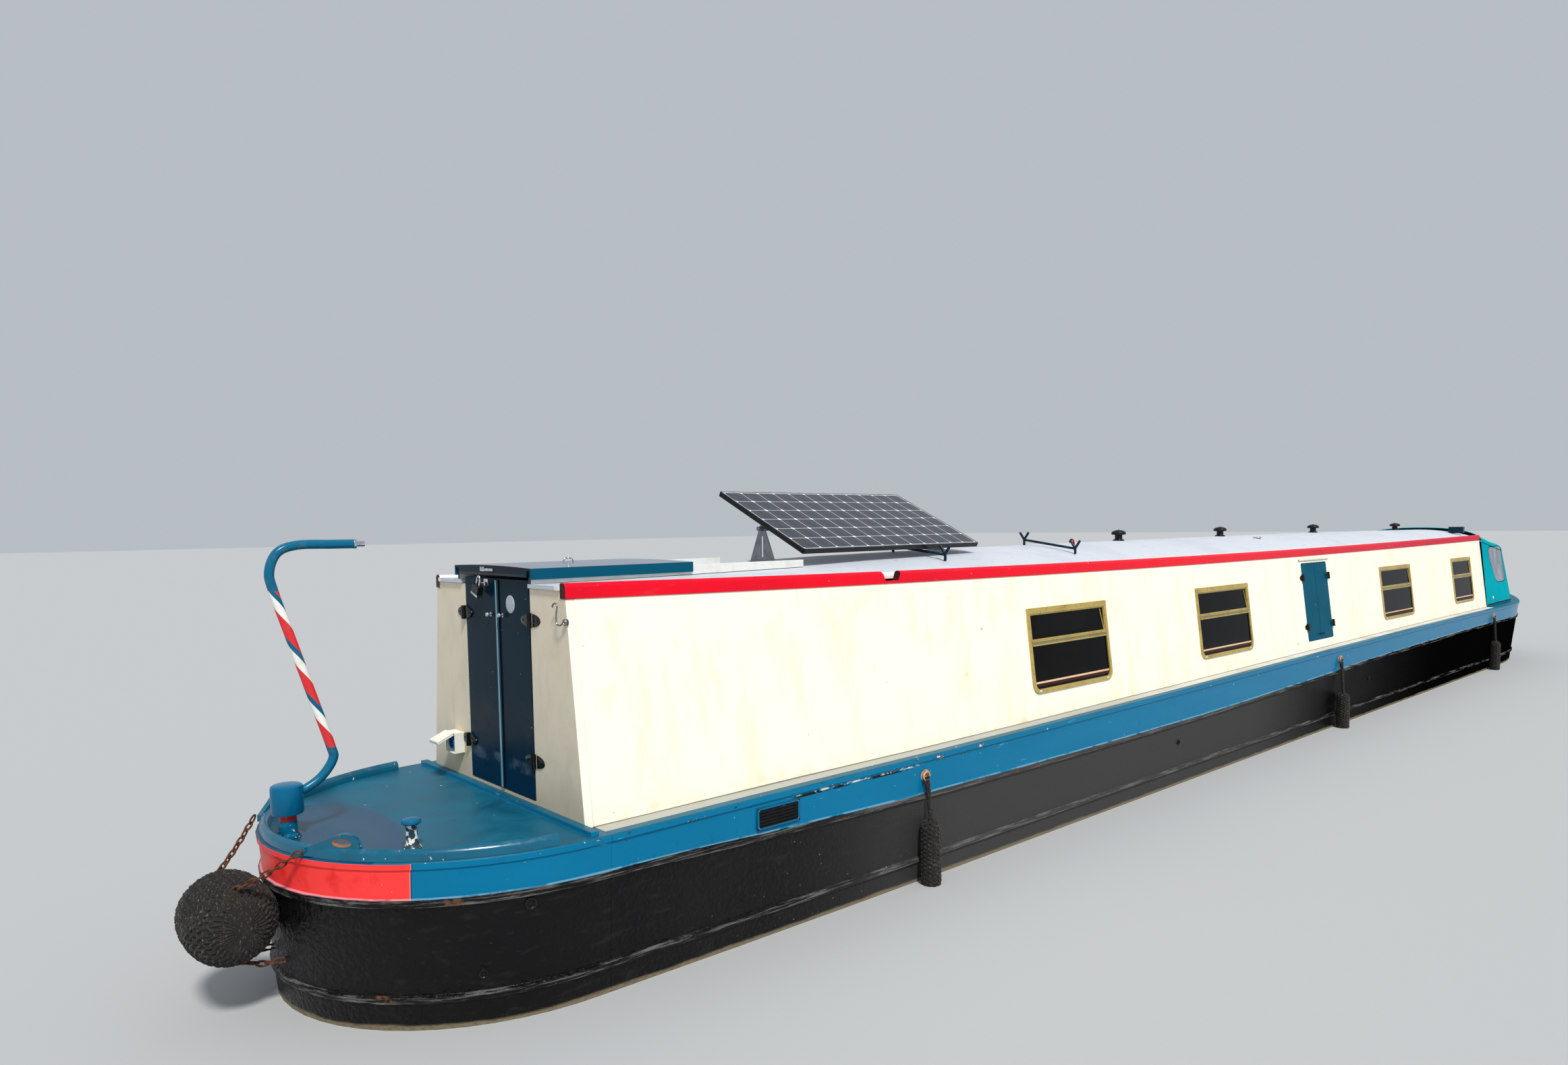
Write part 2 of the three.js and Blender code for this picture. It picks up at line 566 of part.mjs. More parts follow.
function archOutline(half, headHalf, low, head, crown, count = 12) {
  const rise = (share) => head + (crown - head) * (1 - share ** 2);
  const arc = steps(1, -1, count).map((share) => [share * headHalf, rise(share)]);
  return [[-half, low], [half, low], ...arc];
}

// Rear bulkhead, open in the middle for the doors, and the forward one with its own doorway
const REAR_DOORWAY = { port: 356, starboard: -386, sill: 797, head: 1905 };
function buildRearBulkhead() {
  const low = DECK_Z + GAP;
  const shoulder = headZ(CABIN_WALL) - 1;
  const top = eaveZ(CABIN_WALL) - ROOF_THICK - 1;
  const half = [[footAt(0), low], [headAt(0), shoulder], [roofEdge(0), shoulder], [roofEdge(0), top]];
  const outline = [...half, ...half.map(([y, z]) => [-y, z]).reverse()];
  const doorway = box(-50, 100, REAR_DOORWAY.starboard, REAR_DOORWAY.port, REAR_DOORWAY.sill, 2200);
  return solid(plateX(outline, 0, CABIN_WALL)).subtract(solid(doorway));
}

const FRONT_DOORWAY = { half: 320, sill: 330, head: 1650 };
function buildFrontBulkhead() {
  const end = CABIN_LENGTH;
  const [low, foot, head] = [CABIN_FLOOR_Z + GAP, gunwaleZ(end), headZ(end)];
  const [footHalf, headHalf] = [CABIN_FOOT - CABIN_WALL - 1, CABIN_HEAD - CABIN_WALL - 1];
  const [eave, crown] = [eaveZ(end), crownZ(end)].map((z) => z - ROOF_THICK - 1);
  const top = archOutline(footHalf, roofEdge(end), low, eave, crown, ROOF_FACETS);
  const [port, starboard] = [1, -1].map((sign) => [[sign * footHalf, foot], [sign * headHalf, head]]);
  const outline = [...top.slice(0, 2), ...port, ...top.slice(2), ...starboard.reverse()];
  const { half, sill, head: lintel } = FRONT_DOORWAY;
  const doorway = box(CABIN_LENGTH - 100, CABIN_LENGTH + 50, -half, half, sill, lintel);
  return solid(plateX(outline, CABIN_LENGTH - CABIN_WALL, CABIN_LENGTH)).subtract(solid(doorway));
}

// Frame of a cabin side at one place: local X runs forward, Z up the slope and Y into the cabin
function sideFrame(x, z, sign) {
  const rise = headZ(x) - gunwaleZ(x);
  const lean = Math.atan2(footAt(x) - headAt(x), rise);
  const share = (z - gunwaleZ(x)) / rise;
  const half = footAt(x) + (headAt(x) - footAt(x)) * share;
  return { position: [x, sign * half, z], turn: sign * lean };
}

function openingIn(spec, inset, sign) {
  const [x, z] = [(spec.x0 + spec.x1) / 2, (spec.z0 + spec.z1) / 2];
  const frame = sideFrame(x, z, sign);
  const [halfX, halfZ] = [(spec.x1 - spec.x0) / 2 - inset, (spec.z1 - spec.z0) / 2 - inset];
  return { ...frame, halfX, halfZ };
}

const CORNER = 60;
function openingCutter(spec, inset, sign, radius) {
  const { position, turn, halfX, halfZ } = openingIn(spec, inset, sign);
  const geometry = plateY(roundedOutline(-halfX, halfX, -halfZ, halfZ, radius), -150, 150);
  return solid(geometry.rotateX(turn).translate(...position));
}

function buildCabinSide(sign) {
  const rings = cabinStations(-CABIN_WALL - GAP).map((x) => {
    const [foot, head, low, high] = [footAt(x), headAt(x), gunwaleZ(x) + GAP, headZ(x)];
    const section = [[foot, low], [head, high], [head - CABIN_WALL, high], [foot - CABIN_WALL, low]];
    return section.map(([y, z]) => [x, sign * y, z]);
  });
  let wall = solid(loft(rings));
  WINDOWS.forEach((spec) => { wall = wall.subtract(openingCutter(spec, WINDOW_FLANGE, sign, CORNER)); });
  if (sign < 0) wall = wall.subtract(openingCutter(SIDE_HATCH, 0, sign, 20));
  return wall;
}

// A window is one solid: the flange on the cabin side and the pane that fills the opening behind it
function buildWindow(spec, sign) {
  const { halfX, halfZ } = openingIn(spec, WINDOW_FLANGE + GAP, sign);
  const [outX, outZ] = [halfX + WINDOW_FLANGE, halfZ + WINDOW_FLANGE];
  const flange = solid(plateY(roundedOutline(-outX, outX, -outZ, outZ, CORNER + 10), -9, -2));
  const pane = solid(plateY(roundedOutline(-halfX, halfX, -halfZ, halfZ, CORNER), -7, 26));
  const body = join(flange, pane);
  return sign < 0 ? body : body.mirror([0, 1, 0]);
}

// Roof between the handrails in two lengths, the aft one cut open under the sliding hatch
const HATCH = { back: -20, front: 960, half: 441, skin: 9 };
const HATCH_HOLE = { front: 860, half: 391 };
const RUNNER = { y0: 399, y1: 425, top: 1949, end: 1800 };
const ROOF_JOINT = 1600;
function roofLength(stations) {
  return solid(loft(stations.map((x) => {
    const top = steps(-roofEdge(x), roofEdge(x), ROOF_FACETS).map((y) => [x, y, roofTopZ(x, y)]);
    const under = [...top].reverse().map(([, y, z]) => [x, y, z - ROOF_THICK]);
    return [...top, ...under];
  })));
}
function buildRoof() {
  const rest = cabinStations(ROOF_LAP, ROOF_LAP).filter((x) => x > ROOF_JOINT);
  return roofLength([ROOF_JOINT + GAP, ...rest]);
}
function buildRoofAft() {
  const stations = cabinStations(ROOF_LAP, ROOF_LAP).filter((x) => x <= ROOF_JOINT);
  const hole = box(-100, HATCH_HOLE.front, -HATCH_HOLE.half, HATCH_HOLE.half, 1500, 2300);
  return roofLength(stations).subtract(solid(hole));
}

// Handrail along the roof edge, with a drain notch near its aft end
function buildHandrail(sign) {
  const height = RAIL_HEIGHT;
  const rings = cabinStations(4, 4).map((x) => {
    const [out, low] = [headAt(x) + 7, headZ(x) + GAP];
    const back = headAt(x) - RAIL_WIDTH;
    const high = low + height;
    const section = [
      [out, low],
      [out, high - 16],
      [out - 14, high],
      [back + 8, high],
      [back, high - 8],
      [back, low],
    ];
    return section.map(([y, z]) => [x, sign * y, z]);
  });
  const low = headZ(2200) + 14;
  const notch = [[2150, low], [2262, low], [2300, low + 90], [2110, low + 90]];
  return solid(loft(rings)).subtract(solid(plateY(notch, -1000, 1000)));
}

function buildRunner(sign) {
  const { y0, y1, top, end } = RUNNER;
  const rings = [-10, 800, 1600, end].map((x) => {
    const low = roofSeatZ(x, y0) + ROOF_SEAT + GAP;
    return [[x, sign * y0, low], [x, sign * y1, low], [x, sign * y1, top], [x, sign * y0, top]];
  });
  return loft(rings);
}

// Sliding hatch: a nearly flat lid that hangs over the two runners, its ends notched round them
function buildSlidingHatch() {
  const { back, front, half, skin } = HATCH;
  const [eaves, crown, skirt] = [1966, 1974, 1911];
  const lid = (inset, low) => {
    const side = half - inset;
    return archOutline(side, side, low, eaves - inset, crown - inset, 10);
  };
  const shell = solid(plateX(lid(0, skirt), back, front));
  const hollow = solid(plateX(lid(skin, 1800), back + skin, front - skin));
  const notches = SIDES.map(({ sign }) => {
    const [y0, y1] = [sign * (RUNNER.y0 - 8), sign * (half - skin)];
    return solid(box(back - 20, front + 20, Math.min(y0, y1), Math.max(y0, y1), 1800, RUNNER.top + 4));
  });
  const pads = SIDES.flatMap(({ sign }) => [back + 60, front - 60].map((x) => {
    const y = sign * (RUNNER.y0 + RUNNER.y1) / 2;
    return solid(box(x - 30, x + 30, y - 10, y + 10, RUNNER.top + GAP, eaves));
  }));
  const slots = solid(box(back - 20, front + 20, -RUNNER.y0, RUNNER.y0, 1800, 1934));
  const cuts = [hollow, slots, ...notches];
  return join(cuts.reduce((body, cut) => body.subtract(cut), shell), ...pads);
}

// Doors hang on two barrels each, which turn in front of the frame they are fixed to
const HINGE = { out: 12, radius: 11.6, length: 70, beside: 9, leaf: 70 };
function withHinges(panel, heights, place, leafBox) {
  const barrels = heights.map((z) => {
    const [x, y] = place;
    return solid(rod(HINGE.radius, [x, y, z - HINGE.length / 2], [x, y, z + HINGE.length / 2], 12));
  });
  const leafHalf = HINGE.length / 2 - 8;
  const leaves = heights.map((z) => solid(box(...leafBox, z - leafHalf, z + leafHalf)));
  return join(solid(panel), ...barrels, ...leaves);
}
function span(a, b) {
  return [Math.min(a, b), Math.max(a, b)];
}

const REAR_DOOR = { meet: -15, face: -2, hinges: [1003, 1709] };
function rearHingeY(sign) {
  return sign < 0 ? REAR_DOORWAY.starboard - HINGE.beside : REAR_DOORWAY.port + HINGE.beside;
}
function buildRearDoor(sign) {
  const { meet, face, hinges } = REAR_DOOR;
  const edge = sign < 0 ? REAR_DOORWAY.starboard + 5 : REAR_DOORWAY.port - 5;
  const [low, high] = [REAR_DOORWAY.sill + 5, REAR_DOORWAY.head];
  const panel = box(face, face + DOOR_THICK, ...span(edge, meet + sign * 3), low, high);
  const y = rearHingeY(sign);
  return withHinges(panel, hinges, [-HINGE.out, y], [face - 5, face + 1, ...span(y, y - sign * HINGE.leaf)]);
}

const FRONT_HINGES = [560, 1420];
const frontHingeY = (sign) => sign * (FRONT_DOORWAY.half + HINGE.beside);
function buildFrontDoor(sign) {
  const { half, sill, head } = FRONT_DOORWAY;
  const face = CABIN_LENGTH + 2;
  const panel = box(face - DOOR_THICK, face, ...span(sign * 3, sign * (half - 5)), sill + 5, head - 5);
  const y = frontHingeY(sign);
  const leaf = [face - 1, face + 5, ...span(y, y - sign * HINGE.leaf)];
  return withHinges(panel, FRONT_HINGES, [CABIN_LENGTH + HINGE.out, y], leaf);
}

function buildSideHatchDoor(end) {
  const { halfX, halfZ } = openingIn(SIDE_HATCH, 0, -1);
  const outline = roundedOutline(...span(end * 3, end * (halfX - 5)), -halfZ + 5, halfZ - 5, 14);
  const x = end * (halfX + HINGE.beside);
  const leaf = [...span(x, x - end * HINGE.leaf), -8, -0.6];
  return withHinges(plateY(outline, -2, DOOR_THICK - 6), [-250, 250], [x, -HINGE.out - 0.7], leaf);
}

// Solar panel on its pivot tube, in a frame whose X is the tube
function buildPanel() {
  const [halfL, halfW] = [PANEL.length / 2, PANEL.width / 2];
  const slab = solid(box(-halfL, halfL, -halfW, halfW, PANEL.rise, PANEL.rise + 35));
  const pivot = solid(rod(PIVOT_RADIUS, [-halfL + 2, 0, 0], [halfL - 2, 0, 0], 14));
  const clamps = [-0.7, 0.7].map((share) => {
    return solid(box(halfL * share - 20, halfL * share + 20, -16, 16, -10, PANEL.rise + 4));
  });
  return join(slab, pivot, ...clamps);
}

function buildBracket(x) {
  const flangeHalf = 25;
  const base = roofSeatZ(x + flangeHalf, 0.01) + GAP;
  const collar = 26;
  const spread = 112;
  const top = steps(0, Math.PI, 8).map((turn) => {
    return [collar * Math.cos(turn), PANEL.z + collar * Math.sin(turn)];
  });
  const foot = [[-spread, base + 6], [-spread, base], [spread, base], [spread, base + 6]];
  const plate = solid(plateX([...foot, ...top], -3, 3));
  const flange = solid(box(-flangeHalf, flangeHalf, -spread, spread, base, base + 5));
  const hole = solid(rod(PIVOT_RADIUS + 0.6, [-50, 0, PANEL.z], [50, 0, PANEL.z], 14));
  const slot = solid(box(-10, 10, -8, 8, base + 28, PANEL.z - collar - 22));
  return join(plate, flange).subtract(hole).subtract(slot);
}

// Pole rack: a low bar on two feet with a fork at each end
function buildRack(x) {
  const [y0, y1] = [-500, -20];
  const bar = solid(rod(10, [x, y0, roofSeatZ(x, y0) + 45], [x, y1, roofSeatZ(x, y1) + 45], 10));
  const ends = [y0, y1].map((y) => {
    const z = roofSeatZ(x, y + 10) + ROOF_SEAT;
    const foot = solid(rod(10, [x, y, z], [x, y, z + 50], 10));
    const fork = [-1, 1].map((lean) => solid(rod(10, [x, y, z + 45], [x, y + lean * 42, z + 105], 10)));
    return join(foot, ...fork);
  });
  return join(bar, ...ends);
}

function buildVent(x) {
  const z = roofSeatZ(x, 0.01) + ROOF_SEAT;
  const stem = [[0, 0], [52, 0], [52, 10], [34, 16], [32, 52]];
  const cowl = [[62, 58], [66, 70], [50, 88], [22, 98], [0, 100]];
  return turned([...stem, ...cowl].map(([radius, up]) => [radius, up + z]), x, 0);
}

// Side fender: a roped core that hangs on its lanyard from an eye in the hull
function buildFender({ x, top, low }, sign) {
  const r = FENDER_RADIUS;
  const y = sign * (outerHalf(x, LOWER_STRAKE_Z) + STRAKE_OUT + r);
  const profile = [[0, low], [r * 0.6, low + 6], [r, low + 40], [r, top - 40], [r * 0.6, top - 6], [0, top]];
  const core = solid(turned(profile, x, y, 12));
  const gunwale = gunwaleZ(x);
  const lanyard = solid(rod(8, [x, y, top - 12], [x, sign * (outerHalf(x, gunwale) + 20), gunwale - 125], 8));
  return join(core, lanyard);
}

// Stern fender: one thick roped roll lying against the back of the counter
const STERN_FENDER = { radius: 180, z: 455, arc: 0.17, clear: 0.9 };
function buildSternFender() {
  const { radius, z, arc, clear } = STERN_FENDER;
  const [reach, half] = [counterReach(z), outerHalf(0, z)].map((size) => size + radius + clear);
  const rings = steps(-1, 1, 16).map((share) => {
    const turn = Math.PI / 2 + share * arc;
    const centre = [-reach * Math.sin(turn), half * Math.cos(turn)];
    const outward = new THREE.Vector2(-half * Math.sin(turn), reach * Math.cos(turn)).normalize();
    const size = radius * Math.max(0.25, Math.sqrt(1 - share ** 4 * 0.93));
    return steps(0, 2 * Math.PI * 15 / 16, 15).map((a) => {
      const out = size * Math.cos(a);
      return [centre[0] + outward.x * out, centre[1] + outward.y * out, z + size * Math.sin(a)];
    });
  });
  return loft(rings);
}

// Shore power inlet with its flap standing open
function buildInlet() {
  const body = solid(box(-62, -GAP, 440, 560, 912, 1030));
  const mouth = solid(rod(38, [-80, 500, 968], [-20, 500, 968]));
  const flap = solid(box(-150, -58, 446, 554, 1020, 1028));
  return join(body.subtract(mouth), flap);
}

// Cratch board at the fore end of the well, and the canvas over it
const CRATCH = { footHalf: 868, shoulderHalf: 735, shoulder: 1640, crown: 1800 };
function archSection(half, shoulderHalf, low, shoulder, crown) {
  const arc = steps(1, -1, 12).map((share) => {
    return [share * shoulderHalf, shoulder + (crown - shoulder) * Math.sqrt(1 - Math.abs(share) ** 2.4)];
  });
  return [[-half, low], [half, low], ...arc];
}
function buildCratchBoard() {
  const low = FORE_SILL_Z + GAP;
  const inset = 13;
  const { footHalf, shoulderHalf, shoulder, crown } = CRATCH;
  const outline = archSection(footHalf - inset, shoulderHalf - inset, low, shoulder - inset, crown - inset);
  const body = solid(plateX(outline, WELL_END + 30, WELL_END + 60));
  const lights = SIDES.map(({ sign }) => {
    const pane = [[sign * 60, 1020], [sign * 720, 1020], [sign * 640, 1580], [sign * 60, 1620]];
    return solid(plateX(sign < 0 ? [...pane].reverse() : pane, WELL_END, WELL_END + 100));
  });
  return body.subtract(lights[0]).subtract(lights[1]);
}
const COVER_AFT = { x: CABIN_LENGTH + 16, footHalf: 905, headHalf: 800, low: 851.7, head: 1800, crown: 1990 };
const COVER_FORE = { x: WELL_END + 61, footHalf: 884, headHalf: 735, low: 862, head: 1640, crown: 1800 };
function buildCratchCover() {
  const skin = 10;
  const ring = (share, inset, extra) => {
    const at = (name) => COVER_AFT[name] + (COVER_FORE[name] - COVER_AFT[name]) * share;
    const [foot, shoulder] = [at('footHalf') - inset, at('headHalf') - inset];
    const [head, crown] = [at('head') - inset, at('crown') - inset];
    const outline = archSection(foot, shoulder, at('low') - extra, head, crown);
    return outline.map(([y, z]) => [at('x'), y, z]);
  };
  const outer = solid(loft(steps(0, 1, 6).map((share) => ring(share, 0, 0))));
  const hollow = solid(loft([-0.02, 0.25, 0.5, 0.75, 1.02].map((share) => ring(share, skin, 12))));
  return outer.subtract(hollow);
}

// Small lamp on the roof at the fore end
const LAMP = { x: 14300, y: -560 };
function buildRoofLamp() {
  const { x, y } = LAMP;
  const z = roofSeatZ(x, y + 60) + ROOF_SEAT;
  const foot = solid(box(x - 40, x + 40, y - 60, y + 60, z, z + 12));
  const body = solid(box(x - 30, x + 40, y - 90, y + 90, z + 8, z + 92));
  return join(foot, body);
}

const root = new THREE.Group();
const boat = new THREE.Group();
const aftEnd = -(counterReach(STERN_FENDER.z) + 2 * STERN_FENDER.radius + STERN_FENDER.clear);
boat.position.set(-(STEM_X + aftEnd) / 2, 0, DRAFT);
root.add(boat);

function add(name, shape, look, parent = boat) {
  const geometry = shape instanceof THREE.BufferGeometry ? fromSolid(solid(shape)) : fromSolid(shape);
  const mesh = new THREE.Mesh(geometry, new THREE.MeshStandardMaterial(LOOKS[look]));
  mesh.name = name;
  parent.add(mesh);
  return mesh;
}

// Hull
add('base_plate', buildBasePlate(), 'bitumen');
SIDES.forEach(({ name, sign }) => add(`hull_side_${name}`, hullSide(sign), 'bitumen'));
add('swim', buildSwim(), 'bitumen');
add('counter', buildCounter(), 'teal');
add('stern_rim', buildSternRim(), 'teal');
add('bow', buildBow(), 'bitumen');
add('engine', buildEngine(), 'steel');
add('cabin_floor', buildCabinFloor(), 'timber');

// Steering and drive
add('propeller', buildPropeller(), 'bronze');
add('rudder', buildRudder(), 'bitumen');
add('rudder_bearing', buildRudderBearing(), 'teal');
add('swan_neck', buildSwanNeck(), 'teal');

// Cabin
add('rear_bulkhead', buildRearBulkhead(), 'stone');
add('front_bulkhead', buildFrontBulkhead(), 'stone');
SIDES.forEach(({ name, sign }) => {
  add(`cabin_side_${name}`, buildCabinSide(sign), 'cream');
  add(`handrail_${name}`, buildHandrail(sign), 'red');
  add(`hatch_runner_${name}`, buildRunner(sign), 'white');
  add(`rear_door_${name}`, buildRearDoor(sign), 'darkTeal');
  add(`front_door_${name}`, buildFrontDoor(sign), 'darkTeal');
  WINDOWS.forEach((spec) => {
    const { position, turn } = openingIn(spec, 0, sign);
    const mesh = add(`window_${spec.name}_${name}`, buildWindow(spec, sign), 'bronze');
    mesh.position.set(...position);
    mesh.rotation.x = turn;
  });
});
add('roof', buildRoof(), 'roof');
add('roof_aft', buildRoofAft(), 'roof');
add('sliding_hatch', buildSlidingHatch(), 'teal');
[{ name: 'aft', end: -1 }, { name: 'fore', end: 1 }].forEach(({ name, end }) => {
  const { position, turn } = openingIn(SIDE_HATCH, 0, -1);
  const mesh = add(`side_hatch_door_${name}`, buildSideHatchDoor(end), 'teal');
  mesh.position.set(...position);
  mesh.rotation.x = turn;
});

// On the roof
const panelFrame = new THREE.Group();
panelFrame.position.set(PANEL.x, PANEL.y, PANEL.z);
panelFrame.rotation.z = THREE.MathUtils.degToRad(PANEL.yaw);
boat.add(panelFrame);
const panel = add('solar_panel', buildPanel(), 'cells', panelFrame);
panel.rotation.x = THREE.MathUtils.degToRad(PANEL.tilt);
[{ name: 'aft', end: -1 }, { name: 'fore', end: 1 }].forEach(({ name, end }) => {
  const reach = end * (PANEL.length / 2 - 40);
  const angle = THREE.MathUtils.degToRad(PANEL.yaw);
  const [x, y] = [PANEL.x + reach * Math.cos(angle), PANEL.y + reach * Math.sin(angle)];
  const mesh = add(`solar_bracket_${name}`, buildBracket(x), 'steel');
  mesh.position.set(x, y, 0);
  mesh.rotation.z = angle;
});
RACKS.forEach(({ name, x }) => add(name, buildRack(x), 'darkTeal'));
VENTS.forEach((x, i) => add(`vent_${i + 1}`, buildVent(x), 'black'));
add('roof_lamp', buildRoofLamp(), 'darkTeal');

// Deck gear, fenders and cratch
add('stern_dolly', buildDolly(STERN_DOLLY.x, STERN_DOLLY.y, DECK_Z + GAP), 'steel');
add('bow_dolly', buildDolly(BOW_DOLLY_X, 0, BOW_DOLLY_Z + GAP), 'steel');
SIDES.forEach(({ name, sign }) => {
  FENDERS.forEach((spec) => add(`fender_${spec.name}_${name}`, buildFender(spec, sign), 'rope'));
});
add('stern_fender', buildSternFender(), 'rope');
add('shore_inlet', buildInlet(), 'white');
add('cratch_board', buildCratchBoard(), 'timber');
add('cratch_cover', buildCratchCover(), 'canvas');

export default root;
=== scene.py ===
import math

import bmesh
import bpy
from mathutils import Matrix, Vector
from mathutils.bvhtree import BVHTree


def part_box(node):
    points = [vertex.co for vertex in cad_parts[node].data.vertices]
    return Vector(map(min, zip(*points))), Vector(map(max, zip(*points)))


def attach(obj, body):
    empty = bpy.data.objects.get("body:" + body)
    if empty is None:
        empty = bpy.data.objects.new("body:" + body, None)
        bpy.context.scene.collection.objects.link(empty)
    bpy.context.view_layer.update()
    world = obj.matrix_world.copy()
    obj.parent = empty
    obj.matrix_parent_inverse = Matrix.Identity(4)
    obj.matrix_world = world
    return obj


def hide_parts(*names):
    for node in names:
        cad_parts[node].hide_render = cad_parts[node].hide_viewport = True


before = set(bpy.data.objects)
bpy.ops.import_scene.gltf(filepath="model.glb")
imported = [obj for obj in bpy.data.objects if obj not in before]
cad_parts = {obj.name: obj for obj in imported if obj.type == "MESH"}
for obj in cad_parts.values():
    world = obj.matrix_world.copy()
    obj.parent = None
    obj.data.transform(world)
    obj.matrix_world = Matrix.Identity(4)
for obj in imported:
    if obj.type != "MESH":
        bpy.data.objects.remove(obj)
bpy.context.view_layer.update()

# Places are given in metres from the foot of the rear bulkhead at the waterline: x to the bow, y to port
WATER = 0.520
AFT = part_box("rear_bulkhead")[0].x
CABIN_LENGTH = 14.560
LOWER_STRAKE = 0.140
# Where hull sections butt together
HULL_JOINTS = (0.050, 1.600, CABIN_LENGTH)

# Height of the gunwale and of the upper strake along the boat
GUNWALE = [
    (-1.30, 0.760), (0.0, 0.760), (1.25, 0.772), (2.5, 0.773), (5.0, 0.787), (7.5, 0.809), (10.0, 0.831),
    (12.5, 0.846), (14.56, 0.851), (15.15, 0.851), (15.62, 0.852), (16.01, 0.858), (16.35, 0.878),
    (16.63, 0.910), (16.83, 0.947), (16.965, 0.982), (17.04, 1.008),
]
STRAKE = [
    (-1.30, 0.575), (0.0, 0.575), (1.25, 0.546), (2.5, 0.525), (5.0, 0.517), (7.5, 0.551), (10.0, 0.608),
    (12.5, 0.637), (14.56, 0.650), (15.14, 0.648), (15.60, 0.645), (15.98, 0.651), (16.32, 0.668),
    (16.59, 0.694), (16.79, 0.722), (16.92, 0.748), (16.99, 0.766),
]
RUDDER_X = -1.047
# Between a fitting and the face that it sits on
GAP = 0.0003
HATCH_TOP = 1.974
SIDE_SLOPE = math.atan2(0.121, 0.949)


def at(x, y, z):
    return Vector((AFT + x, y, WATER + z))


def rgb(r, g, b):
    """Linear colour from an sRGB one of 0 to 255."""
    def linear(c):
        c /= 255
        return c / 12.92 if c <= 0.04045 else ((c + 0.055) / 1.055) ** 2.4
    return (linear(r), linear(g), linear(b), 1.0)


# Camera at the photograph's place and angle
PHOTO_WIDTH = 2324
CAMERA_AT = (-2.31865, -4.91131, 2.16231)
CAMERA_YAW, CAMERA_PITCH, CAMERA_ROLL = 0.84552, -0.07316, -0.01410
FOCAL_PIXELS = 1483.97
CENTRE_OFFSET = (3.787, 97.169)


def make_camera():
    data = bpy.data.cameras.new("photo_camera")
    data.sensor_width = 36.0
    data.lens = FOCAL_PIXELS / PHOTO_WIDTH * data.sensor_width
    data.shift_x = -CENTRE_OFFSET[0] / PHOTO_WIDTH
    data.shift_y = CENTRE_OFFSET[1] / PHOTO_WIDTH
    data.clip_start, data.clip_end = 0.05, 400.0
    forward = Vector((
        math.cos(CAMERA_YAW) * math.cos(CAMERA_PITCH),
        math.sin(CAMERA_YAW) * math.cos(CAMERA_PITCH),
        math.sin(CAMERA_PITCH),
    ))
    level = Vector((math.sin(CAMERA_YAW), -math.cos(CAMERA_YAW), 0.0))
    up = level.cross(forward)
    right = level * math.cos(CAMERA_ROLL) + up * math.sin(CAMERA_ROLL)
    turned_up = up * math.cos(CAMERA_ROLL) - level * math.sin(CAMERA_ROLL)
    camera = bpy.data.objects.new("photo_camera", data)
    camera.matrix_world = Matrix.Translation(at(*CAMERA_AT)) @ Matrix(
        (right, turned_up, -forward)).transposed().to_4x4()
    bpy.context.scene.collection.objects.link(camera)
    bpy.context.scene.camera = camera


make_camera()


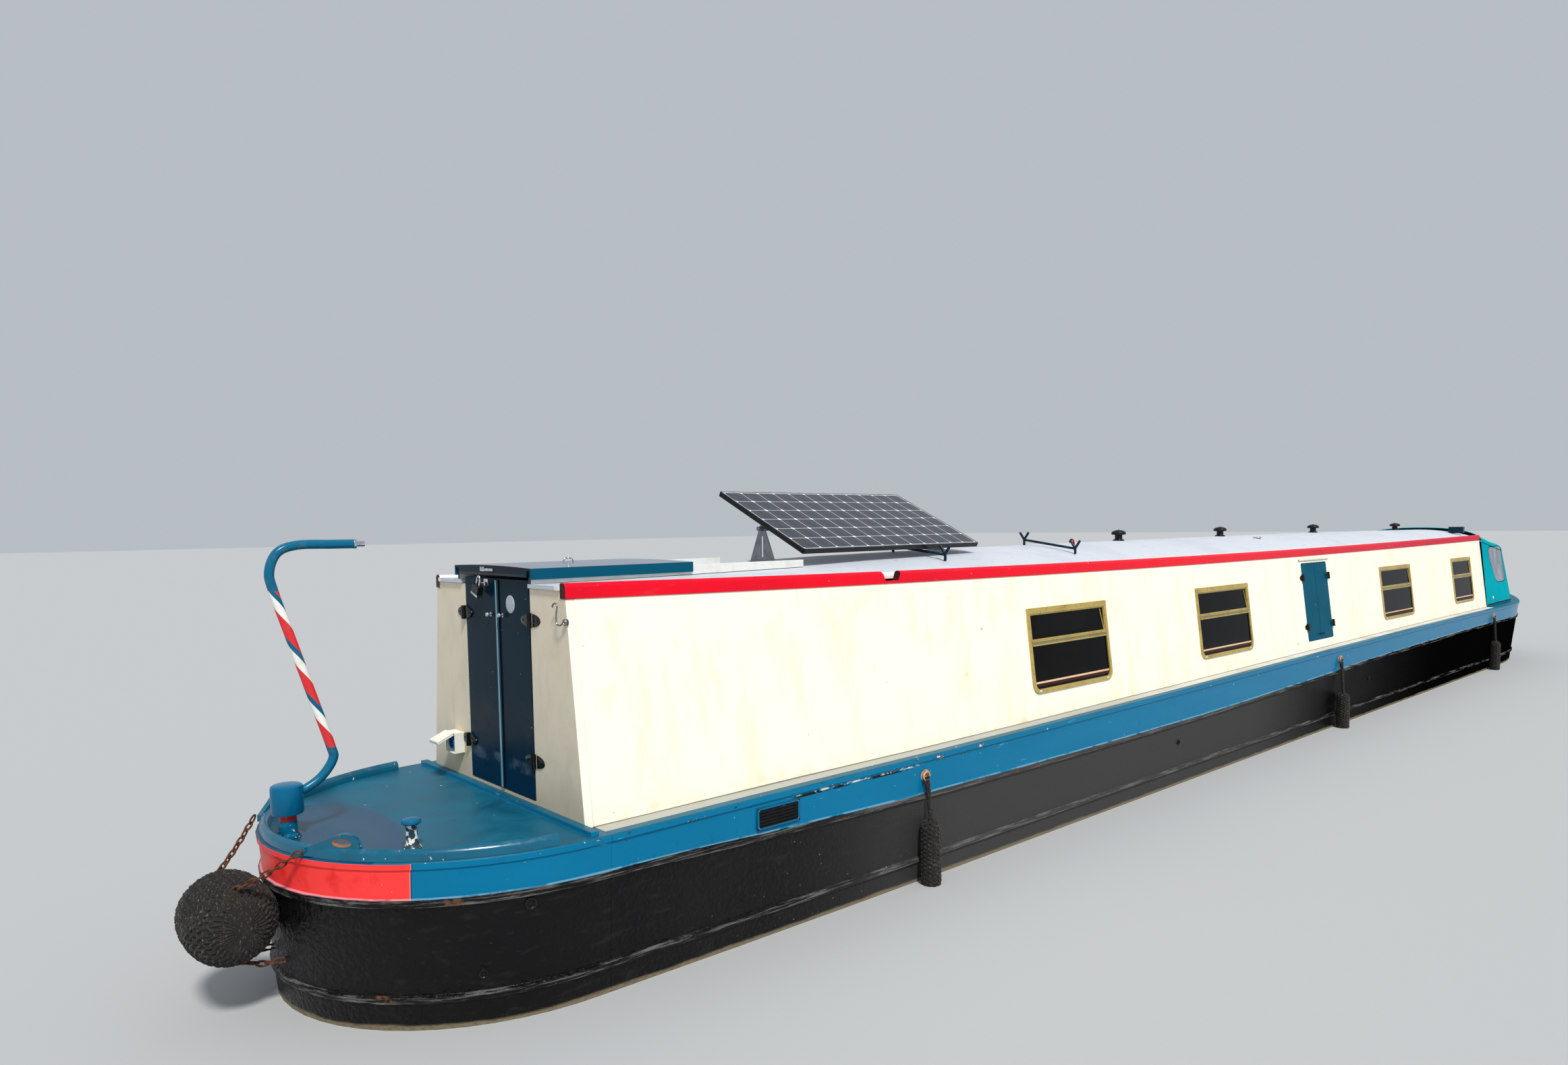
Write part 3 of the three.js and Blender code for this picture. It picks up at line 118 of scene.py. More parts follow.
class Coat:
    """A procedural material on Object coordinates, built up in layers of paint, wear and relief."""

    def __init__(self, name, colour, roughness=0.5, metallic=0.0, gloss=0.25, **sockets):
        self.material = bpy.data.materials.new(name)
        self.material.use_nodes = True
        self.tree = self.material.node_tree
        self.shader = self.tree.nodes["Principled BSDF"]
        self.colour, self.roughness, self.metallic, self.gloss = colour, roughness, metallic, gloss
        self.height = None
        for socket, value in sockets.items():
            self.shader.inputs[socket.replace("_", " ")].default_value = value
        coordinates = self.tree.nodes.new("ShaderNodeTexCoord")
        self.place = coordinates.outputs["Object"]
        self.flat = coordinates.outputs["UV"]
        self.x, self.y, self.z = self.parts(self.place)
        self.nx, self.ny, self.nz = self.parts(coordinates.outputs["Normal"])

    def feed(self, socket, value):
        if isinstance(value, bpy.types.NodeSocket):
            self.tree.links.new(value, socket)
        else:
            socket.default_value = value

    def parts(self, vector):
        node = self.tree.nodes.new("ShaderNodeSeparateXYZ")
        self.feed(node.inputs[0], vector)
        return node.outputs[0], node.outputs[1], node.outputs[2]

    def math(self, operation, a, b=0.0, clamp=False):
        node = self.tree.nodes.new("ShaderNodeMath")
        node.operation = operation
        node.use_clamp = clamp
        self.feed(node.inputs[0], a)
        self.feed(node.inputs[1], b)
        return node.outputs[0]

    def add(self, a, b):
        return self.math("ADD", a, b)

    def sub(self, a, b):
        return self.math("SUBTRACT", a, b)

    def mul(self, a, b):
        return self.math("MULTIPLY", a, b)

    def div(self, a, b):
        return self.math("DIVIDE", a, b)

    def absolute(self, value):
        return self.math("ABSOLUTE", value)

    def both(self, *masks):
        product = masks[0]
        for mask in masks[1:]:
            product = self.mul(product, mask)
        return product

    def without(self, mask):
        return self.sub(1.0, mask)

    def step(self, value, low, high):
        """0 up to low, 1 from high on, smooth between."""
        node = self.tree.nodes.new("ShaderNodeMapRange")
        node.interpolation_type = "SMOOTHSTEP"
        self.feed(node.inputs["Value"], value)
        node.inputs["From Min"].default_value = low
        node.inputs["From Max"].default_value = high
        return node.outputs["Result"]

    def below(self, value, low, high):
        """1 up to low, 0 from high on, smooth between."""
        return self.without(self.step(value, low, high))

    def inward(self, low, high):
        """1 on the faces of a side that look into the boat."""
        return self.step(self.mul(self.mul(self.y, self.ny), -1.0), low, high)

    def within(self, value, low, high, soft=0.001):
        return self.both(self.step(value, low - soft, low), self.below(value, high, high + soft))

    def mapped(self, stretch=(1, 1, 1), turn=(0, 0, 0), shift=(0, 0, 0), place=None):
        node = self.tree.nodes.new("ShaderNodeMapping")
        self.feed(node.inputs["Vector"], self.place if place is None else place)
        node.inputs["Scale"].default_value = stretch
        node.inputs["Rotation"].default_value = turn
        node.inputs["Location"].default_value = shift
        return node.outputs[0]

    def noise(self, scale, detail=3.0, roughness=0.55, stretch=None, distortion=0.0, place=None):
        node = self.tree.nodes.new("ShaderNodeTexNoise")
        where = self.mapped(stretch, place=place) if stretch else (self.place if place is None else place)
        self.feed(node.inputs["Vector"], where)
        node.inputs["Scale"].default_value = scale
        node.inputs["Detail"].default_value = detail
        node.inputs["Roughness"].default_value = roughness
        node.inputs["Distortion"].default_value = distortion
        return node.outputs[0]

    def cells(self, scale, feature="F1", stretch=None, randomness=1.0, place=None):
        node = self.tree.nodes.new("ShaderNodeTexVoronoi")
        node.feature = feature
        where = self.mapped(stretch, place=place) if stretch else (self.place if place is None else place)
        self.feed(node.inputs["Vector"], where)
        node.inputs["Scale"].default_value = scale
        node.inputs["Randomness"].default_value = randomness
        return node.outputs["Distance"]

    def line(self, value, points):
        """Height at this value of a smooth line through (value, height) points."""
        starts, heights = [p[0] for p in points], [p[1] for p in points]
        low, high = min(heights) - 0.001, max(heights) + 0.001
        share = self.math("DIVIDE", self.sub(value, starts[0]), starts[-1] - starts[0], clamp=True)
        node = self.tree.nodes.new("ShaderNodeFloatCurve")
        curve = node.mapping.curves[0]
        for i, (start, height) in enumerate(points):
            spot = ((start - starts[0]) / (starts[-1] - starts[0]), (height - low) / (high - low))
            if i in (0, len(points) - 1):
                curve.points[0 if i == 0 else -1].location = spot
            else:
                curve.points.new(*spot)
        node.mapping.update()
        self.feed(node.inputs["Value"], share)
        return self.add(self.mul(node.outputs[0], high - low), low)

    def blend(self, share, a, b, kind):
        node = self.tree.nodes.new("ShaderNodeMix")
        node.data_type = kind
        inputs = [s for s in node.inputs if s.enabled]
        for socket, value in zip(inputs, (share, a, b)):
            self.feed(socket, value)
        return [s for s in node.outputs if s.enabled][0]

    def layer(self, mask, colour=None, roughness=None, metallic=None, gloss=None):
        """Lays a colour and a finish over what is there, where mask is 1."""
        if colour is not None:
            self.colour = self.blend(mask, self.colour, colour, "RGBA")
        if roughness is not None:
            self.roughness = self.blend(mask, self.roughness, roughness, "FLOAT")
        if metallic is not None:
            self.metallic = self.blend(mask, self.metallic, metallic, "FLOAT")
        if gloss is not None:
            self.gloss = self.blend(mask, self.gloss, gloss, "FLOAT")
        return self

    def cloud(self, limits, noise, *finish, **more):
        """Lays a finish where a noise passes from the low to the high limit, at a third limit's share."""
        mask = self.step(noise, *limits[:2])
        return self.layer(self.mul(mask, limits[2]) if len(limits) > 2 else mask, *finish, **more)

    def relief(self, height, metres, mask=None):
        """Adds relief: height from 0 to 1 stands for this many metres."""
        rise = self.mul(height, metres)
        if mask is not None:
            rise = self.mul(rise, mask)
        self.height = rise if self.height is None else self.add(self.height, rise)
        return self

    def done(self):
        self.feed(self.shader.inputs["Base Color"], self.colour)
        self.feed(self.shader.inputs["Roughness"], self.roughness)
        self.feed(self.shader.inputs["Metallic"], self.metallic)
        self.feed(self.shader.inputs["Specular IOR Level"], self.gloss)
        if self.height is not None:
            bump = self.tree.nodes.new("ShaderNodeBump")
            bump.inputs["Distance"].default_value = 1.0
            self.feed(bump.inputs["Height"], self.height)
            self.tree.links.new(bump.outputs[0], self.shader.inputs["Normal"])
        return self.material


# Paint colours
BITUMEN = rgb(7, 7, 8)
TEAL = rgb(1, 113, 155)
DECK_TEAL = rgb(6, 88, 114)
DARK_TEAL = rgb(1, 30, 46)
STERN_RED = rgb(252, 66, 63)
CREAM = rgb(252, 248, 230)
STONE = rgb(230, 217, 193)
DECK_GREY = rgb(208, 206, 200)
PRIMER = rgb(226, 226, 220)
RUST = rgb(98, 66, 48)
LINING = rgb(196, 154, 104)
MUD = rgb(134, 122, 98)


def boat(coat):
    """x and z of a coat's place, in the boat's own places."""
    return coat.sub(coat.x, AFT), coat.sub(coat.z, WATER)


def lay_bitumen(coat, x, low):
    """Bitumen, brushed, and wrinkled towards the stern."""
    coat.layer(coat.step(x, 2.5, 9.0), gloss=0.03)
    coat.layer(coat.step(coat.noise(1.3, 4.0), 0.4, 0.7), rgb(18, 17, 17), 0.42)
    brushed = coat.noise(26.0, 3.0, stretch=(0.25, 1, 1))
    coat.layer(coat.mul(coat.step(brushed, 0.55, 0.75), 0.4), rgb(40, 38, 37), 0.5)
    # The lighter grey along the middle of the hull is painted sheen: the sun on the wrinkled bitumen there.
    coat.layer(coat.mul(coat.within(x, 2.6, 6.6, 1.6), 0.85), rgb(62, 62, 61), 0.55)
    coat.layer(coat.step(x, 8.0, 12.0), rgb(5, 5, 6), 0.85, gloss=0.0)
    wrinkled = coat.both(low, coat.add(coat.mul(coat.below(x, 0.6, 2.4), 0.85), 0.15))
    coat.relief(coat.noise(26.0, 2.0, 0.5, distortion=1.2), 0.0085, wrinkled)
    coat.relief(coat.cells(46.0, "SMOOTH_F1"), 0.0045, wrinkled)
    coat.relief(coat.noise(38.0, 4.0), 0.0004)


def lay_scrapes(coat, z, strake, low):
    """Scrapes and painted highlight along both strakes, and rust."""
    for height, reach in ((strake, 0.016), (LOWER_STRAKE, 0.017)):
        rub = coat.within(coat.sub(z, height), -reach, reach, 0.006)
        scraped_and_lit = coat.step(coat.noise(5.0, 5.0, 0.7, stretch=(0.6, 1, 14)), 0.47, 0.62)
        # Pale grey along each strake: scrapes, and painted highlight along its rounded top.
        coat.layer(coat.both(rub, scraped_and_lit), rgb(100, 98, 97), 0.45)
        coat.layer(coat.both(rub, coat.step(coat.noise(9.0, 4.0), 0.62, 0.7), low), RUST, 0.8)


def lay_waterline(coat, z):
    """Scum at the waterline and growth below it."""
    scum = coat.below(coat.add(z, coat.mul(coat.noise(4.0), 0.03)), 0.028, 0.044)
    coat.layer(coat.mul(scum, 0.75), MUD, 0.7)
    sunk = coat.below(z, -0.02, 0.0)
    coat.layer(sunk, rgb(44, 41, 34), 0.75)
    coat.layer(coat.both(sunk, coat.step(coat.noise(6.0, 6.0), 0.45, 0.7)), rgb(72, 72, 44), 0.9)


def lay_band(coat, x, band, up, from_gunwale):
    """Enamel band, red at the stern behind two fine lines."""
    coat.layer(band, TEAL, 0.22, gloss=0.12)
    faded = coat.step(coat.noise(2.2, 5.0, stretch=(0.5, 1, 2.0)), 0.42, 0.72)
    coat.layer(coat.both(band, coat.mul(faded, 0.5)), rgb(10, 122, 162), 0.3)
    coat.layer(coat.both(band, coat.step(coat.noise(11.0, 6.0, 0.7), 0.6, 0.75)), rgb(2, 100, 140), 0.3)
    coat.relief(coat.noise(160.0, 2.0), 0.0001, band)
    aft_end = coat.both(coat.below(x, -0.7740, -0.7730), band)
    painted_red = coat.both(aft_end, coat.below(from_gunwale, -0.0065, -0.0055))
    coat.layer(painted_red, STERN_RED, 0.35)
    coat.layer(coat.both(painted_red, coat.step(coat.noise(9.0, 5.0), 0.5, 0.75)), rgb(230, 40, 40), 0.4)
    for start, end, shade in ((-0.7765, -0.7740, rgb(240, 150, 140)), (-0.7735, -0.7705, rgb(10, 50, 70))):
        edge_line = coat.both(band, coat.within(x, start, end, 0.0006), coat.without(up))
        coat.layer(coat.mul(edge_line, 0.8), shade, 0.4)


def lay_chips(coat, x, band, low, from_strake, from_gunwale):
    """Painted highlight in a broken line along the foot of the band, chips near the gunwale, painted glints as
    pale dots on the bitumen, white spots and smears.
    """
    # Pale blue broken line along the foot of the band: painted highlight.
    foot_highlight = coat.both(coat.within(from_strake, 0.0165, 0.022), coat.step(coat.noise(7.0, 4.0), 0.35, 0.5))
    coat.layer(coat.mul(foot_highlight, 0.35), rgb(150, 190, 205), 0.4)
    worn = coat.noise(17.0, 6.0, 0.65, stretch=(0.45, 1, 1.5))
    edge = coat.both(coat.within(from_gunwale, -0.05, 0.004, 0.008), coat.within(x, 0.15, 2.6, 0.4))
    coat.layer(coat.both(edge, coat.step(worn, 0.6, 0.62)), rgb(24, 26, 28), 0.6)
    coat.layer(coat.both(edge, coat.step(worn, 0.635, 0.65)), PRIMER, 0.5)
    ripped = coat.noise(9.0, 6.0, 0.7, stretch=(0.5, 1, 1))
    torn = coat.both(coat.within(x, 1.20, 2.02, 0.08), coat.step(ripped, 0.44, 0.47))
    coat.layer(coat.both(torn, coat.within(from_gunwale, -0.060, -0.047, 0.003)), rgb(20, 24, 28), 0.5)
    flecked = coat.noise(30.0, 5.0, 0.7, stretch=(0.4, 1, 1))
    flecks = coat.both(coat.within(x, 1.25, 2.05, 0.15), coat.step(flecked, 0.52, 0.55))
    coat.layer(coat.both(flecks, coat.within(from_gunwale, -0.051, -0.041, 0.003)), PRIMER, 0.5)
    # Pale dots on the bitumen aft: painted sun glints.
    glint_dots = coat.both(low, coat.within(x, 0.8, 2.4, 0.4), coat.step(coat.noise(44.0, 3.0), 0.735, 0.75))
    coat.layer(glint_dots, rgb(140, 140, 138), 0.5)
    spots = coat.both(band, coat.step(coat.noise(34.0, 3.0), 0.735, 0.75))
    coat.layer(spots, PRIMER, 0.5)
    smears = coat.step(coat.noise(6.0, 5.0, 0.6, stretch=(0.35, 1, 3)), 0.66, 0.69)
    coat.layer(coat.both(band, smears, coat.within(x, 0.2, 4.0, 0.6)), rgb(96, 156, 184), 0.45)


def lay_decks(coat, x, deck, ragged):
    """Deck paint, with a darker patch at the stern and grey strips beside the cabin."""
    coat.layer(deck, DECK_TEAL, 0.42, gloss=0.25)
    cloud = coat.noise(3.4, 6.0, 0.6, distortion=0.6)
    coat.layer(coat.both(deck, coat.step(cloud, 0.42, 0.7)), rgb(14, 100, 126), 0.5)
    coat.layer(coat.both(deck, coat.below(cloud, 0.3, 0.46)), rgb(4, 76, 100), 0.36)
    coat.relief(coat.noise(240.0, 2.0), 0.0005, deck)
    patch_from = coat.add(
        coat.math("POWER", coat.mul(coat.absolute(coat.add(x, 1.10)), 2.0), 3.0),
        coat.math("POWER", coat.mul(coat.absolute(coat.add(coat.y, 0.06)), 1.667), 3.0))
    patch = coat.both(deck, coat.below(coat.add(patch_from, coat.mul(ragged, 5.0)), 0.985, 1.0))
    patch = coat.both(patch, coat.below(x, 0.0, 0.02))
    coat.layer(patch, rgb(4, 66, 98), 0.3)
    # The lighter middle of the patch is a painted sheen.
    sheen_middle = coat.both(patch, coat.below(patch_from, 0.15, 0.8), coat.step(cloud, 0.36, 0.62))
    coat.layer(coat.mul(sheen_middle, 0.7), rgb(36, 78, 98), 0.34)
    grey_edge = coat.line(x, [(0.0, 0.950), (1.25, 0.975), (2.5, 0.984), (CABIN_LENGTH, 0.984)])
    side_deck = coat.both(deck, coat.within(x, 0.051, CABIN_LENGTH, 0.0005))
    inside_edge = coat.sub(grey_edge, coat.add(coat.absolute(coat.y), ragged))
    strip = coat.both(side_deck, coat.step(inside_edge, -0.001, 0.001))
    coat.layer(strip, DECK_GREY, 0.55)
    coat.layer(coat.both(strip, coat.below(x, 4.0, 6.0)), rgb(178, 178, 170), 0.55)
    coat.layer(coat.both(strip, coat.step(cloud, 0.5, 0.75)), rgb(176, 172, 162), 0.6)
    chips = coat.both(deck, coat.step(coat.noise(21.0, 5.0, 0.6), 0.71, 0.72))
    coat.layer(chips, PRIMER, 0.5)


def hull_paint(name, inner):
    """Bitumen below the strake and enamel above it, with the deck's own paint on top."""
    coat = Coat(name, BITUMEN, 0.3, gloss=0.2)
    x, z = boat(coat)
    strake = coat.line(x, STRAKE)
    from_strake, from_gunwale = coat.sub(z, strake), coat.sub(z, coat.line(x, GUNWALE))
    up = coat.both(coat.step(coat.nz, 0.45, 0.7), coat.step(from_gunwale, -0.035, -0.025))
    low = coat.below(from_strake, 0.012, 0.016)
    ragged = coat.mul(coat.sub(coat.noise(14.0, 4.0), 0.5), 0.006)
    band = coat.step(coat.add(from_strake, ragged), 0.0165, 0.0178)
    lay_bitumen(coat, x, low)
    lay_scrapes(coat, z, strake, low)
    lay_waterline(coat, z)
    lay_band(coat, x, band, up, from_gunwale)
    lay_chips(coat, x, band, low, from_strake, from_gunwale)
    lay_decks(coat, x, coat.both(up, coat.step(z, 0.6, 0.62)), ragged)
    inward = coat.inward(0.2, 0.3)
    coat.layer(inward, inner, 0.5)
    grain = coat.noise(7.0, 5.0, stretch=(0.4, 1, 6))
    coat.layer(coat.both(inward, coat.step(grain, 0.4, 0.7)), tuple(c * 0.8 for c in inner[:3]) + (1.0,))
    return coat.done()


def cabin_cream():
    coat = Coat("cabin_cream", CREAM, 0.3, gloss=0.3)
    x, z = boat(coat)
    foot = coat.sub(z, coat.line(x, GUNWALE))
    inward = coat.inward(0.1, 0.2)
    streaks = coat.noise(3.2, 5.0, 0.6, stretch=(1.2, 1, 0.35))
    coat.layer(coat.mul(coat.step(streaks, 0.48, 0.75), 0.7), rgb(251, 240, 204), 0.36)
    coat.cloud((0.54, 0.78, 0.5), coat.noise(7.0, 6.0, stretch=(1, 1, 0.4)), rgb(247, 232, 186))
    pale = coat.step(coat.noise(2.1, 4.0, stretch=(1, 1, 0.6)), 0.55, 0.8)
    coat.layer(coat.mul(pale, 0.6), rgb(255, 253, 240), 0.26)
    grime = coat.both(coat.below(foot, 0.0, 0.10), coat.step(coat.noise(9.0, 5.0), 0.4, 0.7))
    coat.layer(coat.mul(grime, 0.35), rgb(196, 176, 134), 0.5)
    coat.layer(coat.below(foot, 0.004, 0.006), rgb(134, 122, 96), 0.7)
    running = coat.step(coat.noise(20.0, 4.0, stretch=(1.4, 1, 0.05)), 0.66, 0.74)
    drip = coat.both(running, coat.step(z, 1.2, 1.8))
    coat.layer(coat.mul(drip, 0.22), rgb(176, 160, 122), 0.45)
    speck = coat.cells(2.6)
    coat.layer(coat.mul(coat.below(speck, 0.018, 0.075), 0.35), rgb(214, 176, 110), 0.5)
    coat.layer(coat.below(speck, 0.012, 0.022), RUST, 0.75)
    coat.layer(coat.below(coat.cells(7.3), 0.016, 0.028), rgb(168, 128, 74), 0.6)
    coat.relief(coat.noise(2.4, 2.0, stretch=(1, 1, 0.6)), 0.004)
    coat.relief(coat.noise(190.0, 2.0), 0.00008)
    coat.layer(inward, LINING, 0.45)
    board = coat.noise(9.0, 6.0, 0.6, stretch=(0.3, 1, 5))
    coat.layer(coat.both(inward, coat.step(board, 0.42, 0.7)), rgb(166, 118, 70), 0.5)
    groove = coat.math("PINGPONG", z, 0.05)
    coat.layer(coat.both(inward, coat.below(groove, 0.0015, 0.003)), rgb(82, 54, 30), 0.7)
    return coat.done()


def bulkhead_stone():
    coat = Coat("bulkhead_stone", STONE, 0.42)
    z = boat(coat)[1]
    coat.cloud((0.42, 0.72, 0.6), coat.noise(5.0, 6.0, 0.6), rgb(212, 201, 178), 0.5)
    coat.cloud((0.55, 0.8, 0.5), coat.noise(16.0, 5.0, stretch=(1, 1, 0.25)), rgb(200, 190, 168))
    grime = coat.below(coat.add(z, coat.mul(coat.noise(6.0), 0.16)), 0.86, 1.10)
    coat.layer(coat.mul(grime, 0.45), rgb(172, 158, 130), 0.6)
    across, down = coat.sub(coat.y, 0.5), coat.sub(z, 0.93)
    from_inlet = coat.math("SQRT", coat.add(coat.mul(across, across), coat.mul(down, down)))
    halo = coat.below(coat.add(from_inlet, coat.mul(coat.noise(14.0), 0.09)), 0.09, 0.21)
    coat.layer(coat.mul(halo, 0.4), rgb(206, 176, 116), 0.6)
    coat.layer(coat.below(coat.cells(6.1), 0.02, 0.034), rgb(150, 112, 72), 0.7)
    half = coat.absolute(coat.y)
    edge = coat.step(coat.add(half, coat.mul(z, 0.119)), 0.972, 0.985)
    soiled = coat.both(edge, coat.step(coat.noise(12.0, 4.0), 0.35, 0.6))
    coat.layer(coat.mul(soiled, 0.4), rgb(150, 130, 96), 0.6)
    coat.layer(coat.step(coat.absolute(coat.ny), 0.45, 0.6), CREAM, 0.3)
    coat.relief(coat.noise(3.0, 2.0), 0.003)
    coat.relief(coat.noise(210.0, 2.0), 0.00008)
    return coat.done()


def roof_grey():
    coat = Coat("roof_grey", rgb(206, 211, 220), 0.62)
    half = coat.absolute(coat.y)
    coat.cloud((0.42, 0.7, 0.6), coat.noise(1.6, 6.0, 0.6), rgb(190, 196, 206), 0.7)
    coat.cloud((0.55, 0.8, 0.5), coat.noise(9.0, 5.0, stretch=(0.4, 1, 1)), rgb(176, 180, 186))
    coat.cloud((0.64, 0.74, 0.5), coat.noise(26.0, 5.0), rgb(150, 148, 140), 0.8)
    border = coat.step(half, 0.655, 0.658)
    grit = coat.without(border)
    coat.relief(coat.noise(420.0, 2.0, 0.7), 0.0014, grit)
    coat.layer(border, rgb(232, 232, 230), 0.35)
    coat.layer(coat.below(coat.cells(3.1), 0.016, 0.03), rgb(146, 112, 80), 0.7)
    under = coat.below(coat.nz, -0.2, 0.0)
    coat.layer(under, rgb(232, 226, 210), 0.5)
    return coat.done()


def rail_red():
    coat = Coat("rail_red", rgb(240, 8, 38), 0.24, gloss=0.16)
    coat.cloud((0.42, 0.7, 0.7), coat.noise(2.0, 5.0, stretch=(0.5, 1, 1)), rgb(212, 8, 40), 0.3)
    coat.cloud((0.58, 0.78, 0.5), coat.noise(14.0, 5.0, stretch=(0.3, 1, 1)), rgb(236, 46, 60), 0.4)
    x = boat(coat)[0]
    forward = coat.step(x, 5.0, 14.0)
    coat.layer(coat.mul(forward, 0.6), rgb(180, 34, 64), 0.5, gloss=0.03)
    chip = coat.noise(26.0, 5.0, 0.6)
    coat.layer(coat.step(chip, 0.715, 0.725), rgb(236, 214, 206), 0.5)
    inward = coat.inward(0.25, 0.4)
    coat.layer(inward, rgb(232, 232, 230), 0.35)
    # Aft-facing ends of the rail are painted dark red: painted shade.
    coat.layer(coat.below(coat.nx, -0.85, -0.7), rgb(60, 8, 16), 0.35)
    coat.relief(coat.noise(130.0, 2.0), 0.00012)
    return coat.done()


def gloss_paint(name, colour, shade, roughness=0.2, chips=0.72, chip_colour=PRIMER, gloss=0.2):
    """Brushed enamel with a second, cloudy shade, dust and small chips."""
    coat = Coat(name, colour, roughness, gloss=gloss)
    coat.cloud((0.42, 0.7, 0.6), coat.noise(4.0, 5.0), shade, roughness + 0.12)
    dust = coat.both(coat.step(coat.noise(18.0, 5.0, 0.6), 0.5, 0.8), coat.step(coat.nz, 0.2, 0.9))
    coat.layer(coat.mul(dust, 0.3), rgb(150, 150, 140), 0.6)
    coat.layer(coat.step(coat.noise(31.0, 4.0, 0.6), chips, chips + 0.012), chip_colour, 0.5)
    coat.relief(coat.noise(60.0, 3.0, stretch=(1, 1, 0.25)), 0.0002)
    return coat.done()


def runner_paint():
    coat = Coat("runner_paint", rgb(228, 228, 224), 0.35)
    coat.cloud((0.45, 0.75, 0.5), coat.noise(12.0, 5.0), rgb(196, 194, 186), 0.5)
    # The runner's aft end is painted dark teal: painted shade.
    coat.layer(coat.below(coat.nx, -0.85, -0.7), DARK_TEAL, 0.25)
    coat.relief(coat.noise(220.0, 2.0), 0.0001)
    return coat.done()


def bearing_paint():
    """Teal flange below a worn red collar."""
    coat = Coat("bearing_enamel", rgb(2, 98, 134), 0.25, gloss=0.25)
    z = boat(coat)[1]
    coat.cloud((0.42, 0.7, 0.6), coat.noise(9.0, 5.0), rgb(2, 80, 112), 0.35)
    coat.layer(coat.step(z, 0.8415, 0.8425), rgb(196, 36, 40), 0.35)
    coat.cloud((0.64, 0.652), coat.noise(34.0, 4.0, 0.6), PRIMER, 0.5)
    coat.relief(coat.noise(60.0, 3.0), 0.0002)
    return coat.done()


def leaf_teal():
    """Enamel of the side hatch doors, black on the hinge parts outside them."""
    coat = Coat("leaf_teal_enamel", rgb(0, 82, 106), 0.3, gloss=0.02)
    x = boat(coat)[0]
    coat.cloud((0.42, 0.7, 0.6), coat.noise(4.0, 5.0), rgb(0, 74, 96), 0.32)
    coat.cloud((0.74, 0.752), coat.noise(31.0, 4.0, 0.6), PRIMER, 0.5)
    coat.layer(coat.without(coat.within(x, 8.3008, 8.9462, 0.0004)), rgb(12, 12, 13), 0.2)
    coat.relief(coat.noise(60.0, 3.0, stretch=(1, 1, 0.25)), 0.0002)
    return coat.done()


def hatch_teal():
    coat = Coat("hatch_teal", rgb(3, 80, 106), 0.2, gloss=0.08)
    x = boat(coat)[0]
    half = coat.absolute(coat.y)
    coat.cloud((0.42, 0.7, 0.6), coat.noise(3.0, 5.0), rgb(6, 82, 108), 0.25)
    # Aft-facing faces of the lid are painted dark teal: painted shade.
    shaded_aft_face = coat.below(coat.nx, -0.6, -0.4)
    coat.layer(shaded_aft_face, DARK_TEAL, 0.2)
    top = coat.step(coat.nz, 0.6, 0.8)
    # The grey-blue on the lid's top is a painted reflection of the sky, over a high gloss.
    coat.layer(top, rgb(84, 104, 132), 0.15, gloss=0.8)
    line = coat.both(coat.within(half, 0.425, 0.435), coat.within(x, -0.016, 0.956))
    ends = coat.both(coat.below(half, 0.435, 0.436), coat.within(x, -0.016, -0.006))
    coat.layer(coat.both(top, line), rgb(206, 58, 74), 0.25)
    coat.layer(coat.both(top, ends), rgb(206, 58, 74), 0.25)
    coat.cloud((0.735, 0.745), coat.noise(34.0, 4.0), PRIMER, 0.5)
    coat.relief(coat.noise(70.0, 2.0), 0.00015)
    return coat.done()


def door_teal():
    coat = Coat("door_teal", rgb(0, 32, 46), 0.22, gloss=0.05)
    z = boat(coat)[1]
    coat.cloud((0.4, 0.7, 0.6), coat.noise(2.4, 4.0, stretch=(1, 1, 0.5)), rgb(0, 38, 56), 0.3)
    # The doors are painted darkest at the top, as painted shade under the hatch lid, and lighter and bluer
    # lower down.
    low = coat.below(coat.add(z, coat.mul(coat.noise(5.0), 0.3)), 0.95, 1.3)
    coat.layer(coat.mul(low, 0.8), rgb(0, 45, 75), 0.35)
    # A grey band across the middle of the doors is a painted reflection.
    reflection_band = coat.both(coat.within(z, 1.10, 1.22, 0.10), coat.step(coat.noise(4.0, 5.0), 0.4, 0.7))
    coat.layer(coat.mul(reflection_band, 0.45), rgb(58, 62, 62), 0.45)
    smear = coat.both(coat.within(z, 0.93, 0.97, 0.02), coat.step(coat.noise(8.0, 4.0), 0.45, 0.7))
    coat.layer(coat.mul(smear, 0.4), rgb(120, 140, 150), 0.45)
    coat.cloud((0.745, 0.755), coat.noise(46.0, 3.0), rgb(150, 170, 180), 0.5)
    inward = coat.step(coat.nx, 0.5, 0.7)
    coat.layer(inward, LINING, 0.45)
    grain = coat.noise(9.0, 6.0, stretch=(1, 5, 0.3))
    coat.layer(coat.both(inward, coat.step(grain, 0.45, 0.7)), rgb(150, 104, 62))
    coat.relief(coat.noise(3.0, 2.0), 0.002)
    coat.relief(coat.noise(90.0, 2.0), 0.00012)
    return coat.done()


def worn_steel(name="worn_steel", colour=rgb(150, 150, 150), stain=rgb(110, 84, 62), roughness=0.32):
    coat = Coat(name, colour, roughness, 1.0)
    coat.cloud((0.45, 0.7, 0.6), coat.noise(18.0, 5.0), rgb(108, 110, 114), roughness + 0.15)
    coat.cloud((0.66, 0.76), coat.noise(30.0, 5.0, 0.6), stain, 0.75, 0.2)
    coat.relief(coat.noise(110.0, 3.0), 0.00025)
    return coat.done()


